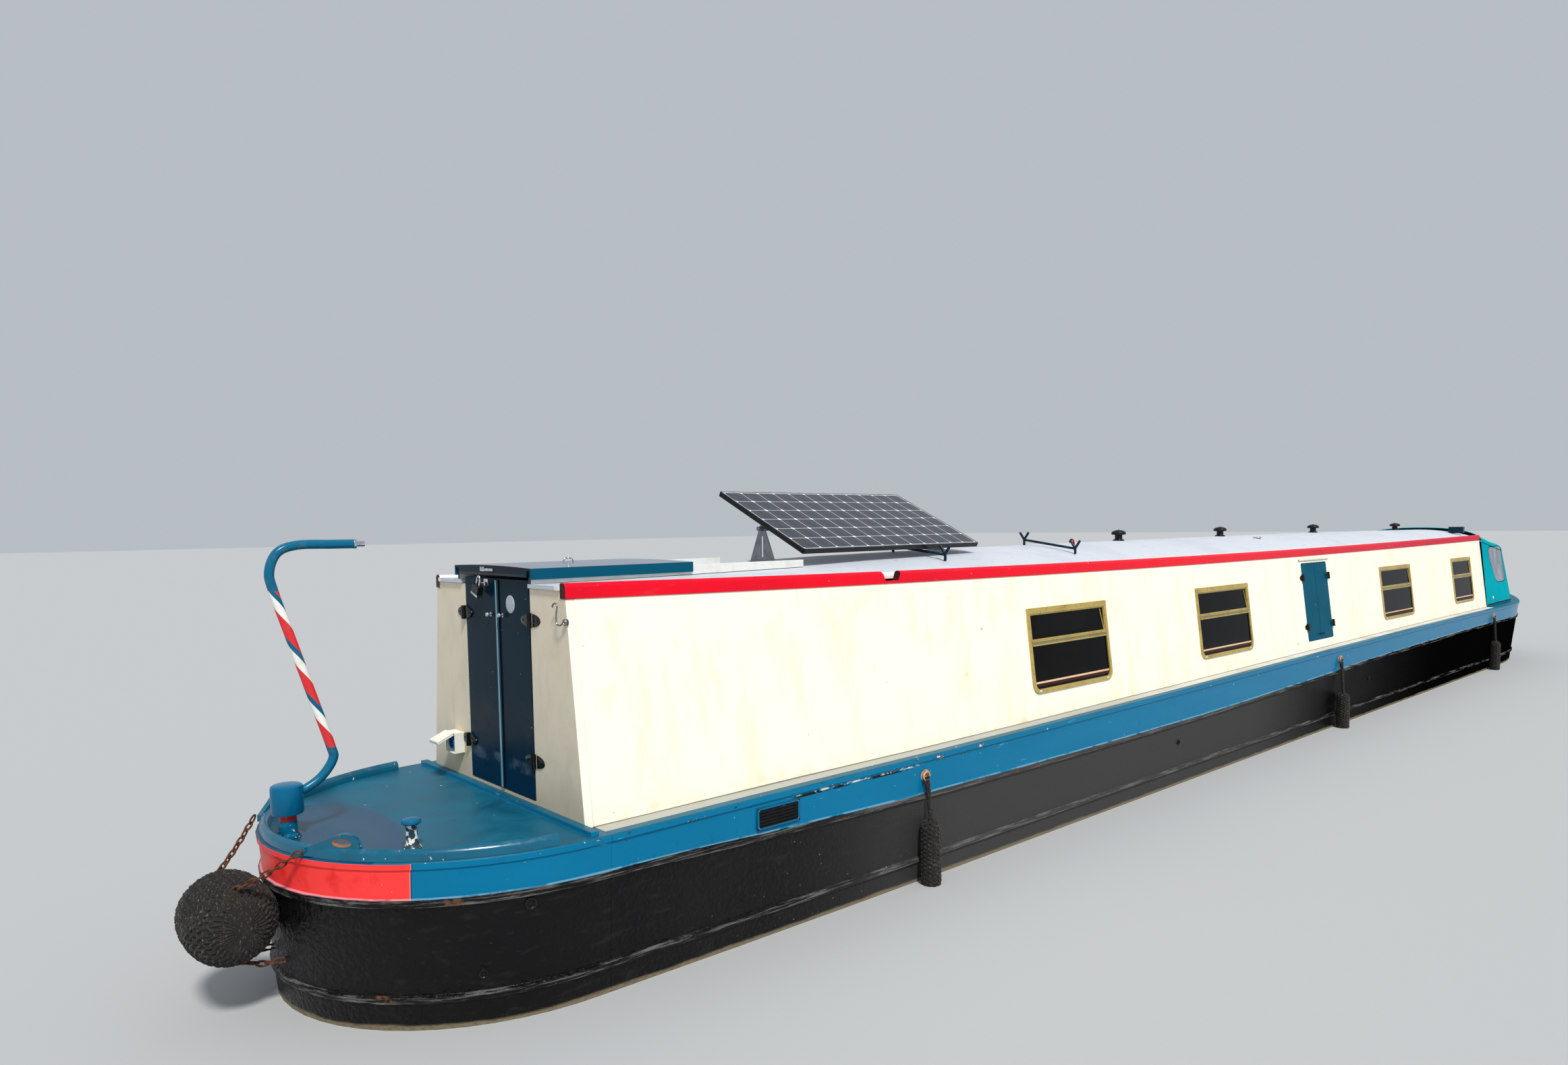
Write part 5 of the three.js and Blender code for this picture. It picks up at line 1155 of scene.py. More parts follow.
def make_side_fender(name, side, x, top, low, eye_z):
    sign = SIDES[side]
    node = f"fender_{name}_{side}"
    foot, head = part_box(node)
    y = foot.y + FENDER_RADIUS if sign < 0 else head.y - FENDER_RADIUS
    base, tip = at(x, y, low), at(x, y, top)

    def radius_at(t):
        end = min(t, 1 - t)
        return 0.0595 * min(1.0, 0.55 + 0.45 * math.sqrt(min(1.0, end / 0.09)))
    bm = bmesh.new()
    paths = plait(lambda t: base.lerp(tip, t), lambda t: Vector((1, 0, 0)), lambda t: Vector((0, 1, 0)),
                  radius_at, 6, 2.6, 0.0125, 84)
    add_tubes(bm, paths, 0.0125, ring=1)
    height = top - low
    add_turned(bm, [(0, 0.004), (0.026, 0.006), (0.040, 0.03), (0.042, height / 2), (0.040, height - 0.03),
                    (0.026, height - 0.006), (0, height - 0.004)], base, sides=24, look=1)
    finish_piece(f"{node}_rope", bm, ["rope", "rubber"], "boat", [node], smooth=80)
    wall, outward = on_side(f"hull_side_{side}", x, eye_z, sign)
    bm = bmesh.new()
    centre = wall + outward * 0.012 + Vector((0, outward.y * 0.004, 0))
    add_tubes(bm, [oval(centre, Vector((0.026, 0, 0)), Vector((0, 0, 0.026)), 24)], 0.0065, closed=True)
    add_rod(bm, wall - outward * 0.003, wall + outward * 0.0015, 0.034, sides=32)
    add_block(bm, wall + outward * 0.009 + Vector((0, 0, 0.030)), (0.022, 0.020, 0.014))
    finish_piece(f"fender_eye_{name}_{side}", bm, ["eye"], "boat", bevel=0.001)
    low_end = tip + Vector((0, 0, -0.01))
    high_end = wall + outward * 0.022 + Vector((0, 0, -0.026))

    def twisted(t, strand):
        angle = 2 * math.pi * (6 * t + strand / 3)
        return low_end.lerp(high_end, t) + Vector((math.cos(angle), math.sin(angle), 0)) * 0.0080
    strands = [[twisted(i / 60, strand) for i in range(61)] for strand in range(3)]
    bm = bmesh.new()
    add_tubes(bm, strands, 0.0082, ring=0)
    loop = [high_end + Vector((0.020 * math.cos(a), -outward.y * 0.010 * math.cos(2 * a), 0.024 * math.sin(a)))
            for a in around(20)]
    add_tubes(bm, [loop], 0.0075, closed=True, ring=1)
    add_turned(bm, [(0, -0.03), (0.013, -0.028), (0.0155, -0.015), (0.0155, 0.012), (0.012, 0.022), (0, 0.024)],
               high_end + Vector((0, 0, -0.030)), sides=16)
    add_turned(bm, [(0, 0), (0.016, 0.002), (0.018, 0.012), (0.016, 0.024), (0, 0.026)], tip, sides=16)
    finish_piece(f"fender_lanyard_{name}_{side}", bm, ["rope"], "boat", smooth=80)


# Place along the boat, top, foot and the height of the eye
FENDERS = {
    "aft": (2.205, 0.385, -0.025, 0.652), "middle": (8.700, 0.350, -0.060, 0.705),
    "fore": (14.300, 0.390, -0.020, 0.752),
}
for fender, places in FENDERS.items():
    for side in SIDES:
        make_side_fender(fender, side, *places)

STERN_FENDER = {"radius": 0.180, "z": 0.455, "arc": 0.17}


def make_stern_fender():
    """A thick plaited roll that lies round the back of the counter."""
    radius, z = STERN_FENDER["radius"], STERN_FENDER["z"]
    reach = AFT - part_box("stern_fender")[0].x - radius
    half = 1.1717
    arc = STERN_FENDER["arc"]

    def turn(t):
        return math.pi / 2 + (2 * t - 1) * arc

    def centre(t):
        return at(-reach * math.sin(turn(t)), half * math.cos(turn(t)), z)

    def outward(t):
        return Vector((-half * math.sin(turn(t)), reach * math.cos(turn(t)), 0)).normalized()

    def radius_at(t):
        share = abs(2 * t - 1)
        closing = min(1.0, math.sqrt(max(0.0, (1 - share) / 0.045)))
        return (radius - 0.004) * math.sqrt(1 - share ** 4 * 0.93) * closing + 0.013
    bm = bmesh.new()
    paths = plait(centre, outward, lambda t: Vector((0, 0, 1)), radius_at, 30, 0.42, 0.0130, 110)
    add_tubes(bm, paths, 0.0135, ring=0)
    stations = [i / 60 for i in range(61)]
    sizes = [max(0.02, (radius_at(t) - 0.027) / radius) for t in stations]
    add_tubes(bm, [[centre(t) for t in stations]], radius, ring=8, look=1, sizes=sizes)
    finish_piece("stern_fender_rope", bm, ["rope", "rubber"], "boat", ["stern_fender"], smooth=80)


# Chains from the fairleads to the fender and stays from it to the hull: both ends, links and sag
FENDER_CHAINS = {
    "chain": ((-1.100, 0.368, 0.792), (-1.322, 0.140, 0.612), 9, 0.012),
    "stay": ((-1.296, 0.060, 0.272), (-1.113, 0.100, 0.236), 5, 0.020),
}


def make_chain(name, start, end, count, sag):
    """Long round links, each turned a quarter from the one before."""
    along = (end - start).normalized()
    across = along.cross(Vector((0, 0, 1))).normalized()
    other = along.cross(across).normalized()
    reach = (end - start).length / count * 0.68
    links = []
    for i in range(count):
        t = (i + 0.5) / count
        spot = start.lerp(end, t) + Vector((0, 0, -sag * math.sin(math.pi * t)))
        links.append(oval(spot, along * reach, (across if i % 2 else other) * 0.0115, 16))
    bm = bmesh.new()
    add_tubes(bm, links, 0.0048, closed=True, ring=1)
    finish_piece(name, bm, ["chain"], "boat")


make_stern_fender()
for kind, (*chain_ends, link_count, chain_sag) in FENDER_CHAINS.items():
    for side, sign in SIDES.items():
        first, last = [at(x, sign * y, z) for x, y, z in chain_ends]
        make_chain(f"fender_{kind}_{side}", first, last, link_count, chain_sag)


# Windows: brass frames with a hopper over a fixed pane
WINDOWS = {
    "galley": (3.550, 4.580, 0.951, 1.553), "saloon": (6.024, 7.039, 0.949, 1.565),
    "cabin": (10.475, 11.518, 0.963, 1.578), "bow": (13.151, 14.002, 0.982, 1.588),
}


def rounded_ring(half_x, half_z, low_corner, high_corner, y, arc=6):
    """Points of a window outline in its own plane, from the lower left corner round."""
    ring = []
    for corner_x, corner_z, radius, start in (
            (half_x, -half_z, low_corner, -0.5), (half_x, half_z, high_corner, 0.0),
            (-half_x, half_z, high_corner, 0.5), (-half_x, -half_z, low_corner, 1.0)):
        centre_x = corner_x - math.copysign(radius, corner_x)
        centre_z = corner_z - math.copysign(radius, corner_z)
        for i in range(arc + 1):
            angle = math.pi * (start + 0.5 * i / arc)
            ring.append(Vector((centre_x + radius * math.cos(angle), y, centre_z + radius * math.sin(angle))))
    return ring


def add_frame(bm, outer, inner, front, back, look=0):
    """Adds a flat frame between two rings, from depth front to depth back."""
    loops = []
    for ring in (outer, inner):
        verts = [bm.verts.new((p.x, front, p.z)) for p in ring]
        loops.append([bm.edges.new((a, b)) for a, b in zip(verts, verts[1:] + verts[:1])])
    made = bmesh.ops.bridge_loops(bm, edges=loops[0] + loops[1])
    for face in made["faces"]:
        face.material_index = look
    pulled = bmesh.ops.extrude_face_region(bm, geom=made["faces"])
    moved = [v for v in pulled["geom"] if isinstance(v, bmesh.types.BMVert)]
    bmesh.ops.translate(bm, verts=moved, vec=(0, back - front, 0))
    for v in moved:
        for face in v.link_faces:
            face.material_index = look


WINDOW_LOOKS = ["brass", "rubber", "glass", "sill_wood", "dark_bead", "steel", "dull_brass", "white_metal"]


def make_window(name, side):
    sign = SIDES[side]
    x0, x1, z0, z1 = WINDOWS[name]
    node = f"window_{name}_{side}"
    half_x, half_z = (x1 - x0) / 2, (z1 - z0) / 2
    wall = on_side(f"cabin_side_{side}", (x0 + x1) / 2 - half_x - 0.05, (z0 + z1) / 2, sign)[0]
    spot = at((x0 + x1) / 2, wall.y, (z0 + z1) / 2)
    bm = bmesh.new()
    outer = rounded_ring(half_x - GAP, half_z - GAP, 0.070, 0.060, 0)
    inner = rounded_ring(half_x - 0.030, half_z - 0.030, 0.046, 0.040, 0)
    add_frame(bm, outer, inner, -0.0088, -0.0024)
    reveal = rounded_ring(half_x - 0.0135, half_z - 0.0135, 0.058, 0.058, 0)
    add_frame(bm, reveal, rounded_ring(half_x - 0.031, half_z - 0.031, 0.046, 0.040, 0), -0.0024, 0.025)
    # Rain strip over the frame, transom and the hopper's own frame
    add_block(bm, (0, -0.0072, half_z - 0.020), (2 * half_x - 0.004, 0.0085, 0.040))
    transom = half_z * 0.17
    add_block(bm, (0, -0.0035, transom), (2 * half_x - 0.058, 0.013, 0.040), look=6)
    add_block(bm, (0, -0.0108, transom + 0.0145), (2 * half_x - 0.066, 0.0035, 0.008))
    add_block(bm, (0, -0.0108, transom - 0.0130), (2 * half_x - 0.066, 0.0035, 0.008))
    hopper_low, hopper_high = transom + 0.020, half_z - 0.040
    middle, tall = (hopper_low + hopper_high) / 2, (hopper_high - hopper_low) / 2
    ring_out = rounded_ring(half_x - 0.032, tall, 0.006, 0.010, 0, 2)
    ring_in = rounded_ring(half_x - 0.044, tall - 0.010, 0.004, 0.008, 0, 2)
    for ring in (ring_out, ring_in):
        for p in ring:
            p.z += middle
    add_frame(bm, ring_out, ring_in, -0.0045, 0.004)
    stay = ((half_x - 0.085, -0.001, hopper_high - 0.02), (half_x - 0.052, -0.001, hopper_low + 0.01))
    add_rod(bm, *stay, 0.0038, sides=8)
    for edge in (-1, 1):
        add_block(bm, (edge * (half_x - 0.075), -0.0095, -half_z + 0.018), (0.026, 0.002, 0.010), look=7)
    # Screws round the flange
    flange = rounded_ring(half_x - 0.015, half_z - 0.015, 0.055, 0.050, 0, 1)
    for a, b in zip(flange, flange[1:] + flange[:1]):
        count = max(1, round((b - a).length / 0.16))
        for i in range(count):
            p = a.lerp(b, (i + 0.5) / count)
            add_rod(bm, (p.x, -0.0086, p.z), (p.x, -0.0098, p.z), 0.0042, sides=10, look=5)
    # Rubber, panes and the wooden bead inside
    seal = rounded_ring(half_x - 0.0302, half_z - 0.0302, 0.045, 0.040, 0)
    add_frame(bm, seal, rounded_ring(half_x - 0.036, half_z - 0.036, 0.040, 0.034, 0), -0.0010, 0.006, look=1)
    pane = rounded_ring(half_x - 0.0305, half_z - 0.0305, 0.045, 0.040, 0)
    bm.faces.new([bm.verts.new((p.x, 0.003, p.z)) for p in pane]).material_index = 2
    add_block(bm, (0, 0.0005, -half_z + 0.075), (2 * half_x - 0.074, 0.004, 0.013), look=3)
    add_block(bm, (0, 0.0008, -half_z + 0.058), (2 * half_x - 0.074, 0.003, 0.021), look=4)
    turn = Matrix.Rotation(sign * SIDE_SLOPE, 4, "X")
    flip = Matrix.Identity(4) if sign < 0 else Matrix.Diagonal((1, -1, 1, 1))
    bmesh.ops.transform(bm, verts=bm.verts, matrix=Matrix.Translation(spot) @ turn @ flip)
    finish_piece(f"{node}_unit", bm, WINDOW_LOOKS, "boat", [node], smooth=35)


for window in WINDOWS:
    for side in SIDES:
        make_window(window, side)


# Rear doors: hinges, cover strip, knobs, plate, hasp and padlock
def add_dome(bm, outline, thickness, look=0):
    """Adds a plate with a rounded rim from a convex ring of points, given its thickness as a vector."""
    centre = sum(outline, Vector()) / len(outline)
    rings = []
    for size, height in ((1.0, 0.0), (1.0, 0.35), (0.94, 0.78), (0.80, 1.0)):
        rings.append([bm.verts.new(centre + (p - centre) * size + thickness * height) for p in outline])
    faces = [bm.faces.new(rings[0]), bm.faces.new(rings[-1])]
    for low, high in zip(rings, rings[1:]):
        for i in range(len(outline)):
            j = (i + 1) % len(outline)
            faces.append(bm.faces.new((low[i], low[j], high[j], high[i])))
    for face in faces:
        face.material_index = look


def half_oval(start, reach, tall, count=12):
    """Outline of a hinge leaf as (away from the pin, up) pairs."""
    first = math.asin(start / reach)
    turns = [first + (math.pi / 2 - first) * i / count for i in range(count + 1)]
    top = [(reach * math.sin(t), tall * math.cos(t)) for t in turns]
    return top + [(a, -b) for a, b in reversed(top[:-1])]


DOOR_X, HATCH_END_X = -0.002, -0.020
DOOR_PINS = {"starboard": -0.395, "port": 0.365}
HINGE_BARREL = [
    (0, -0.037), (0.0128, -0.037), (0.0128, -0.012), (0.0122, -0.0115), (0.0122, 0.0115), (0.0128, 0.012),
    (0.0128, 0.037), (0, 0.037),
]


def make_rear_hinges():
    """Two hinges to each rear door, with one leaf on the door and one on the bulkhead."""
    for side, y in DOOR_PINS.items():
        for i, z in enumerate((1.003, 1.709)):
            for kind, body, foot, way, start, thick, stud in (
                    ("hinge", f"rear_door_{side}", DOOR_X, -SIDES[side], 0.004, 0.0097, 0.030),
                    ("hinge_plate", "boat", 0.0, SIDES[side], 0.017, 0.0050, 0.034)):
                bm = bmesh.new()
                if kind == "hinge":
                    add_turned(bm, HINGE_BARREL, at(-0.012, y, z), sides=24)
                ring = [at(foot - GAP, y + way * a, z + b) for a, b in half_oval(start, 0.095, 0.034)]
                add_dome(bm, ring, Vector((-thick, 0, 0)))
                for a, b in ((stud, 0.014), (stud, -0.014), (0.064, 0.0)):
                    add_turned(bm, screw_head(0.0055, 0.002, 0.0034),
                               at(foot - thick - GAP, y + way * a, z + b), (-1, 0, 0), sides=12)
                finish_piece(f"rear_{kind}_{side}_{i + 1}", bm, ["hinge_black"], body)


def make_door_fittings():
    """Strip over the gap between the doors, with a pale blue edge as a painted highlight, and the knobs and the
    plate.
    """
    bm = bmesh.new()
    add_block(bm, at(DOOR_X - 0.0035, -0.036, 1.352), (0.006, 0.038, 1.090))
    # The pale blue plate along the strip's edge is a painted highlight.
    edge = ((-0.0285, 1.897), (-0.0365, 1.897), (-0.0410, 0.807), (-0.0240, 0.807))
    add_plate(bm, [at(DOOR_X - 0.0005, y, z) for y, z in edge], Vector((-0.009, 0, 0)), look=1)
    finish_piece("door_cover_strip", bm, ["strip_dark", "strip"], "rear_door_starboard",
                 bevel=0.001)
    knob = [(0, 0), (0.012, 0), (0.012, 0.002), (0.006, 0.004), (0.0055, 0.012), (0.010, 0.015),
            (0.013, 0.021), (0.010, 0.027), (0, 0.028)]
    for side, y, z in (("port", 0.045, 1.715), ("starboard", -0.090, 1.718)):
        bm = bmesh.new()
        add_turned(bm, knob, at(DOOR_X - GAP, y, z), (-1, 0, 0), sides=28)
        finish_piece(f"door_knob_{side}", bm, ["chrome"], f"rear_door_{side}")
    bm = bmesh.new()
    plate = at(DOOR_X - GAP, -0.180, 1.778)
    add_dome(bm, oval(plate, Vector((0, 0.048, 0)), Vector((0, 0, 0.046)), 36), Vector((-0.0035, 0, 0)))
    for end in (-1, 1):
        add_turned(bm, screw_head(0.0035, 0.0014, 0.002), plate + Vector((-0.0033, end * 0.030, 0)),
                   (-1, 0, 0), sides=10, look=1)
    finish_piece("door_plate", bm, ["plate_grey", "steel"], "rear_door_starboard")


def make_door_lock():
    """Staple on the port door with its padlock, and the hasp on the hatch's end above it."""
    bm = bmesh.new()
    add_block(bm, at(DOOR_X - 0.0025, 0.088, 1.882), (0.004, 0.048, 0.036))
    staple = [at(DOOR_X - 0.004 - 0.024 * math.sin(a), 0.088 + 0.012 * math.cos(a), 1.880)
              for a in half_around(12)]
    add_tubes(bm, [staple], 0.0036)
    tilt = Matrix.Rotation(math.radians(20), 4, "X")
    hang = at(DOOR_X - 0.040, 0.105, 1.870)
    bow = [Vector((0, 0.016 * math.cos(a), 0.022 + 0.026 * math.sin(a))) for a in half_around(14)]
    shackle = [Vector((0, 0.016, -0.012)), *bow, Vector((0, -0.016, -0.012))]
    add_tubes(bm, [[hang + tilt @ p for p in shackle]], 0.0055)
    body = Matrix.Translation(hang) @ tilt
    for height, size, look in ((-0.026, (0.030, 0.072, 0.046), 1), (-0.054, (0.034, 0.078, 0.012), 0)):
        block = add_block(bm, Vector((0, 0, height)), size, look=look)
        bmesh.ops.transform(bm, verts=block, matrix=body)
    finish_piece("staple_and_padlock", bm, ["chrome", "frame_black"], "rear_door_port",
                 bevel=0.002)
    bm = bmesh.new()
    add_block(bm, at(HATCH_END_X - 0.003, 0.038, 1.950), (0.006, 0.150, 0.014))
    add_block(bm, at(HATCH_END_X - 0.003, 0.085, 1.953), (0.009, 0.046, 0.024))
    add_rod(bm, at(HATCH_END_X - 0.007, 0.020, 1.942), at(HATCH_END_X - 0.007, 0.020, 1.958), 0.006)
    finish_piece("hatch_hasp", bm, ["chrome"], "sliding_hatch", bevel=0.0015)


LOOK["hinge_black"] = plastic("hinge_black", rgb(12, 12, 13), rgb(26, 26, 26), 0.16)
LOOK["plate_grey"] = plastic("plate_grey", rgb(176, 184, 192), rgb(150, 158, 168), 0.4)
# Pale blue of the strip's edge: painted highlight.
LOOK["strip"] = gloss_paint("strip_edge_highlight", rgb(110, 160, 185), rgb(84, 136, 166), 0.2)
LOOK["strip_dark"] = gloss_paint("strip_dark", rgb(8, 14, 18), rgb(14, 24, 30), 0.2, 0.76)
make_rear_hinges()
make_door_fittings()
make_door_lock()


def make_bulkhead_hook():
    """Wire hook by the starboard corner that holds the door open."""
    bm = bmesh.new()
    points = [
        (-0.022, -0.752, 1.722), (-0.024, -0.728, 1.708), (-0.026, -0.700, 1.712),
        (-0.026, -0.694, 1.745), (-0.026, -0.703, 1.783), (-0.026, -0.706, 1.800),
        (-0.026, -0.690, 1.809), (-0.026, -0.668, 1.803), (-0.026, -0.660, 1.790),
    ]
    path = smooth_path([at(*place) for place in points], 6)
    add_tubes(bm, [path], 0.0042)
    ring = oval(at(-0.014, -0.752, 1.722), Vector((0, 0.014, 0)), Vector((0, 0, 0.014)), 16)
    add_tubes(bm, [ring], 0.003, closed=True)
    add_turned(bm, [(0, 0), (0.016, 0), (0.016, 0.003), (0.007, 0.006), (0.006, 0.014), (0, 0.015)],
               at(-GAP, -0.752, 1.722), (-1, 0, 0), sides=20)
    finish_piece("door_hook", bm, ["steel"], "boat")


make_bulkhead_hook()


def make_shore_inlet():
    bm = bmesh.new()
    outer = [(0.441, 0.913), (0.559, 0.913), (0.559, 1.029), (0.441, 1.029)]
    ring = [at(-0.0006, y, z) for y, z in outer]
    verts = [bm.verts.new(p) for p in ring]
    back = bm.faces.new(verts)
    made = bmesh.ops.extrude_face_region(bm, geom=[back])
    moved = [v for v in made["geom"] if isinstance(v, bmesh.types.BMVert)]
    bmesh.ops.translate(bm, verts=moved, vec=(-0.060, 0, 0))
    front = next(f for f in made["geom"] if isinstance(f, bmesh.types.BMFace))
    bmesh.ops.inset_region(bm, faces=[front], thickness=0.014)
    bmesh.ops.translate(bm, verts=front.verts[:], vec=(0.040, 0, 0))
    centre = at(-0.045, 0.500, 0.966)
    add_turned(bm, [(0.034, 0.0), (0.034, 0.030), (0.030, 0.032), (0.0285, 0.030), (0.0285, 0.004), (0, 0.004)],
               centre + Vector((0.022, 0, 0)), (-1, 0, 0), sides=36, look=1)
    for i in range(3):
        angle = math.pi / 2 + i * 2 * math.pi / 3
        pin = centre + Vector((0.02, 0.014 * math.cos(angle), 0.014 * math.sin(angle)))
        add_rod(bm, pin, pin + Vector((-0.020, 0, 0)), 0.0032, sides=12, look=2)
    turn = Matrix.Rotation(math.radians(-24), 4, "Y")
    add_block(bm, at(-0.107, 0.500, 1.0115), (0.102, 0.118, 0.006), turn)
    for y in (0.4425, 0.5575):
        add_block(bm, at(-0.109, y, 1.0045), (0.098, 0.003, 0.014), turn)
    add_block(bm, at(-0.154, 0.500, 0.984), (0.003, 0.118, 0.014), turn)
    add_rod(bm, at(-0.0585, 0.446, 1.027), at(-0.0585, 0.554, 1.027), 0.0045, sides=14)
    finish_piece("shore_inlet_box", bm, ["white_plastic", "blue_plastic", "brass"], "boat",
                 ["shore_inlet"], bevel=0.0015)


make_shore_inlet()


# Louvre, skin fittings and the drip rail
def make_louvre():
    centre, outward = on_side("hull_side_starboard", 1.048, 0.652, -1)
    bm = bmesh.new()
    # The black plate behind the slats is painted shade inside the vent, seen through the gaps.
    add_block(bm, centre + outward * 0.0015, (0.292, 0.006, 0.112))
    for i in range(6):
        z = -0.042 + i * 0.0168
        tilt = Matrix.Rotation(math.radians(38), 4, "X")
        add_block(bm, centre + outward * 0.008 + Vector((0, 0, z)), (0.262, 0.012, 0.0022), tilt)
    for x, z, wide, tall in ((0, 0.051, 0.292, 0.010), (0, -0.051, 0.292, 0.010), (0.141, 0, 0.010, 0.112),
                             (-0.141, 0, 0.010, 0.112)):
        add_block(bm, centre + outward * 0.006 + Vector((x, 0, z)), (wide, 0.009, tall), look=2)
    for x in (-0.136, 0.136):
        for z in (-0.046, 0.046):
            add_turned(bm, screw_head(0.0045, 0.0016, 0.0024),
                       centre + outward * 0.0104 + Vector((x, 0, z)), outward, sides=10, look=1)
    finish_piece("engine_louvre", bm, ["frame_black", "steel", "teal"], "boat", bevel=0.0008)


def make_skin_fittings():
    """Drain outlets with their flanges in the black of the hull."""
    for i, (x, z, size) in enumerate(((-0.33, 0.522, 0.030), (-0.52, 0.235, 0.022), (5.35, 0.36, 0.022),
                                      (9.6, 0.40, 0.022))):
        spot, normal = on_side("counter" if x < 0 else "hull_side_starboard", x, z, -1)
        bm = bmesh.new()
        add_turned(bm, [(size * 0.55, -0.004), (size * 0.55, 0.006), (size * 0.7, 0.009), (size * 0.92, 0.007),
                        (size, 0.002), (size, -0.004)], spot, normal, sides=32)
        add_turned(bm, [(0, 0.0008), (size * 0.56, 0.0008)], spot, normal, sides=32, look=1)
        finish_piece(f"skin_fitting_{i + 1}", bm, ["black", "rubber"], "boat")


def make_drip_rail():
    spot, outward = on_side("cabin_side_starboard", 8.20, 1.728, -1)
    bm = bmesh.new()
    rail = Vector((AFT + 8.623, spot.y, spot.z)) + outward * 0.006
    add_block(bm, rail, (0.760, 0.014, 0.006), Matrix.Rotation(-SIDE_SLOPE, 4, "X"), look=1)
    add_block(bm, rail + outward * 0.006 + Vector((0, 0, -0.002)), (0.760, 0.003, 0.010))
    finish_piece("side_hatch_drip_rail", bm, ["white_metal", "rail_olive"], "boat", bevel=0.001)


make_louvre()
make_skin_fittings()
make_drip_rail()


# Side hatch hinges
SIDE_HATCH_X, SIDE_HATCH_Z, SIDE_HATCH_WIDTH = 8.6235, 1.301, 0.645


def make_side_hatch_details():
    lean = Matrix.Rotation(-SIDE_SLOPE, 4, "X")
    wall, outward = on_side("cabin_side_starboard", 8.22, SIDE_HATCH_Z, -1)
    origin = at(SIDE_HATCH_X, wall.y, SIDE_HATCH_Z)
    pin_x = SIDE_HATCH_WIDTH / 2 + 0.009

    def place(x, y, z):
        return origin + lean @ Vector((x, y, z))
    for name, end in (("aft", -1), ("fore", 1)):
        bm = bmesh.new()
        for z in (-0.250, 0.250):
            spot = place(end * pin_x, -0.0127, z)
            add_turned(bm, [(0, -0.0365), (0.0118, -0.0365), (0.0118, 0.0365), (0, 0.0365)], spot,
                       lean @ Vector((0, 0, 1)), sides=22)
            leaf = ((0.004, -0.026), (0.040, -0.022), (0.064, -0.007), (0.064, 0.007), (0.040, 0.022),
                    (0.004, 0.026))
            ring = [place(end * (pin_x - a), -0.0082, z + b) for a, b in leaf]
            add_plate(bm, ring, outward * 0.0045)
            for a in (0.026, 0.050):
                add_turned(bm, screw_head(0.005, 0.002, 0.003),
                           place(end * (pin_x - a), -0.0127, z), outward, sides=10)
        add_turned(bm, [(0, 0), (0.009, 0), (0.009, 0.002), (0.004, 0.004), (0.004, 0.010), (0.008, 0.013),
                        (0.008, 0.019), (0, 0.021)], place(end * 0.040, -0.002, -0.340), outward, sides=20)
        finish_piece(f"side_hatch_hinges_{name}", bm, ["black"], f"side_hatch_door_{name}")
        bm = bmesh.new()
        for z in (-0.250, 0.250):
            ring = [place(end * (pin_x + a), -GAP, z + b) for a, b in (
                (0.015, -0.026), (0.040, -0.018), (0.050, 0.0), (0.040, 0.018), (0.015, 0.026))]
            add_plate(bm, ring, outward * 0.0050)
        finish_piece(f"side_hatch_hinge_plates_{name}", bm, ["black"], "boat", bevel=0.0008)


make_side_hatch_details()


# Roof gear
def make_vents():
    for i in range(4):
        low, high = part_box(f"vent_{i + 1}")
        base = Vector(((low.x + high.x) / 2, (low.y + high.y) / 2, low.z))
        bm = bmesh.new()
        add_turned(bm, [(0, 0), (0.0515, 0), (0.052, 0.004), (0.050, 0.009), (0.036, 0.013), (0.0335, 0.018),
                        (0.0335, 0.056), (0, 0.056)], base)
        add_turned(bm, [(0.028, 0.052), (0.058, 0.054), (0.0645, 0.060), (0.066, 0.068), (0.0625, 0.078),
                        (0.050, 0.088), (0.030, 0.095), (0.012, 0.0985), (0, 0.0995)], base, look=1)
        add_rod(bm, base + Vector((0, 0, 0.098)), base + Vector((0, 0, 0.1025)), 0.008, sides=6, look=2)
        for k in range(4):
            angle = math.pi / 4 + k * math.pi / 2
            spot = base + Vector((0.044 * math.cos(angle), 0.044 * math.sin(angle), 0.010))
            add_turned(bm, screw_head(0.004, 0.002, 0.003), spot, sides=10, look=2)
        finish_piece(f"vent_{i + 1}_cowl", bm, ["black", "black", "steel"], "boat",
                     [f"vent_{i + 1}"])


PANEL = {
    "x": 2.670, "y": 0.006, "z": 2.139, "length": 1.820, "width": 0.850, "tilt": 26.0, "yaw": 3.0,
    "rise": 0.034,
}


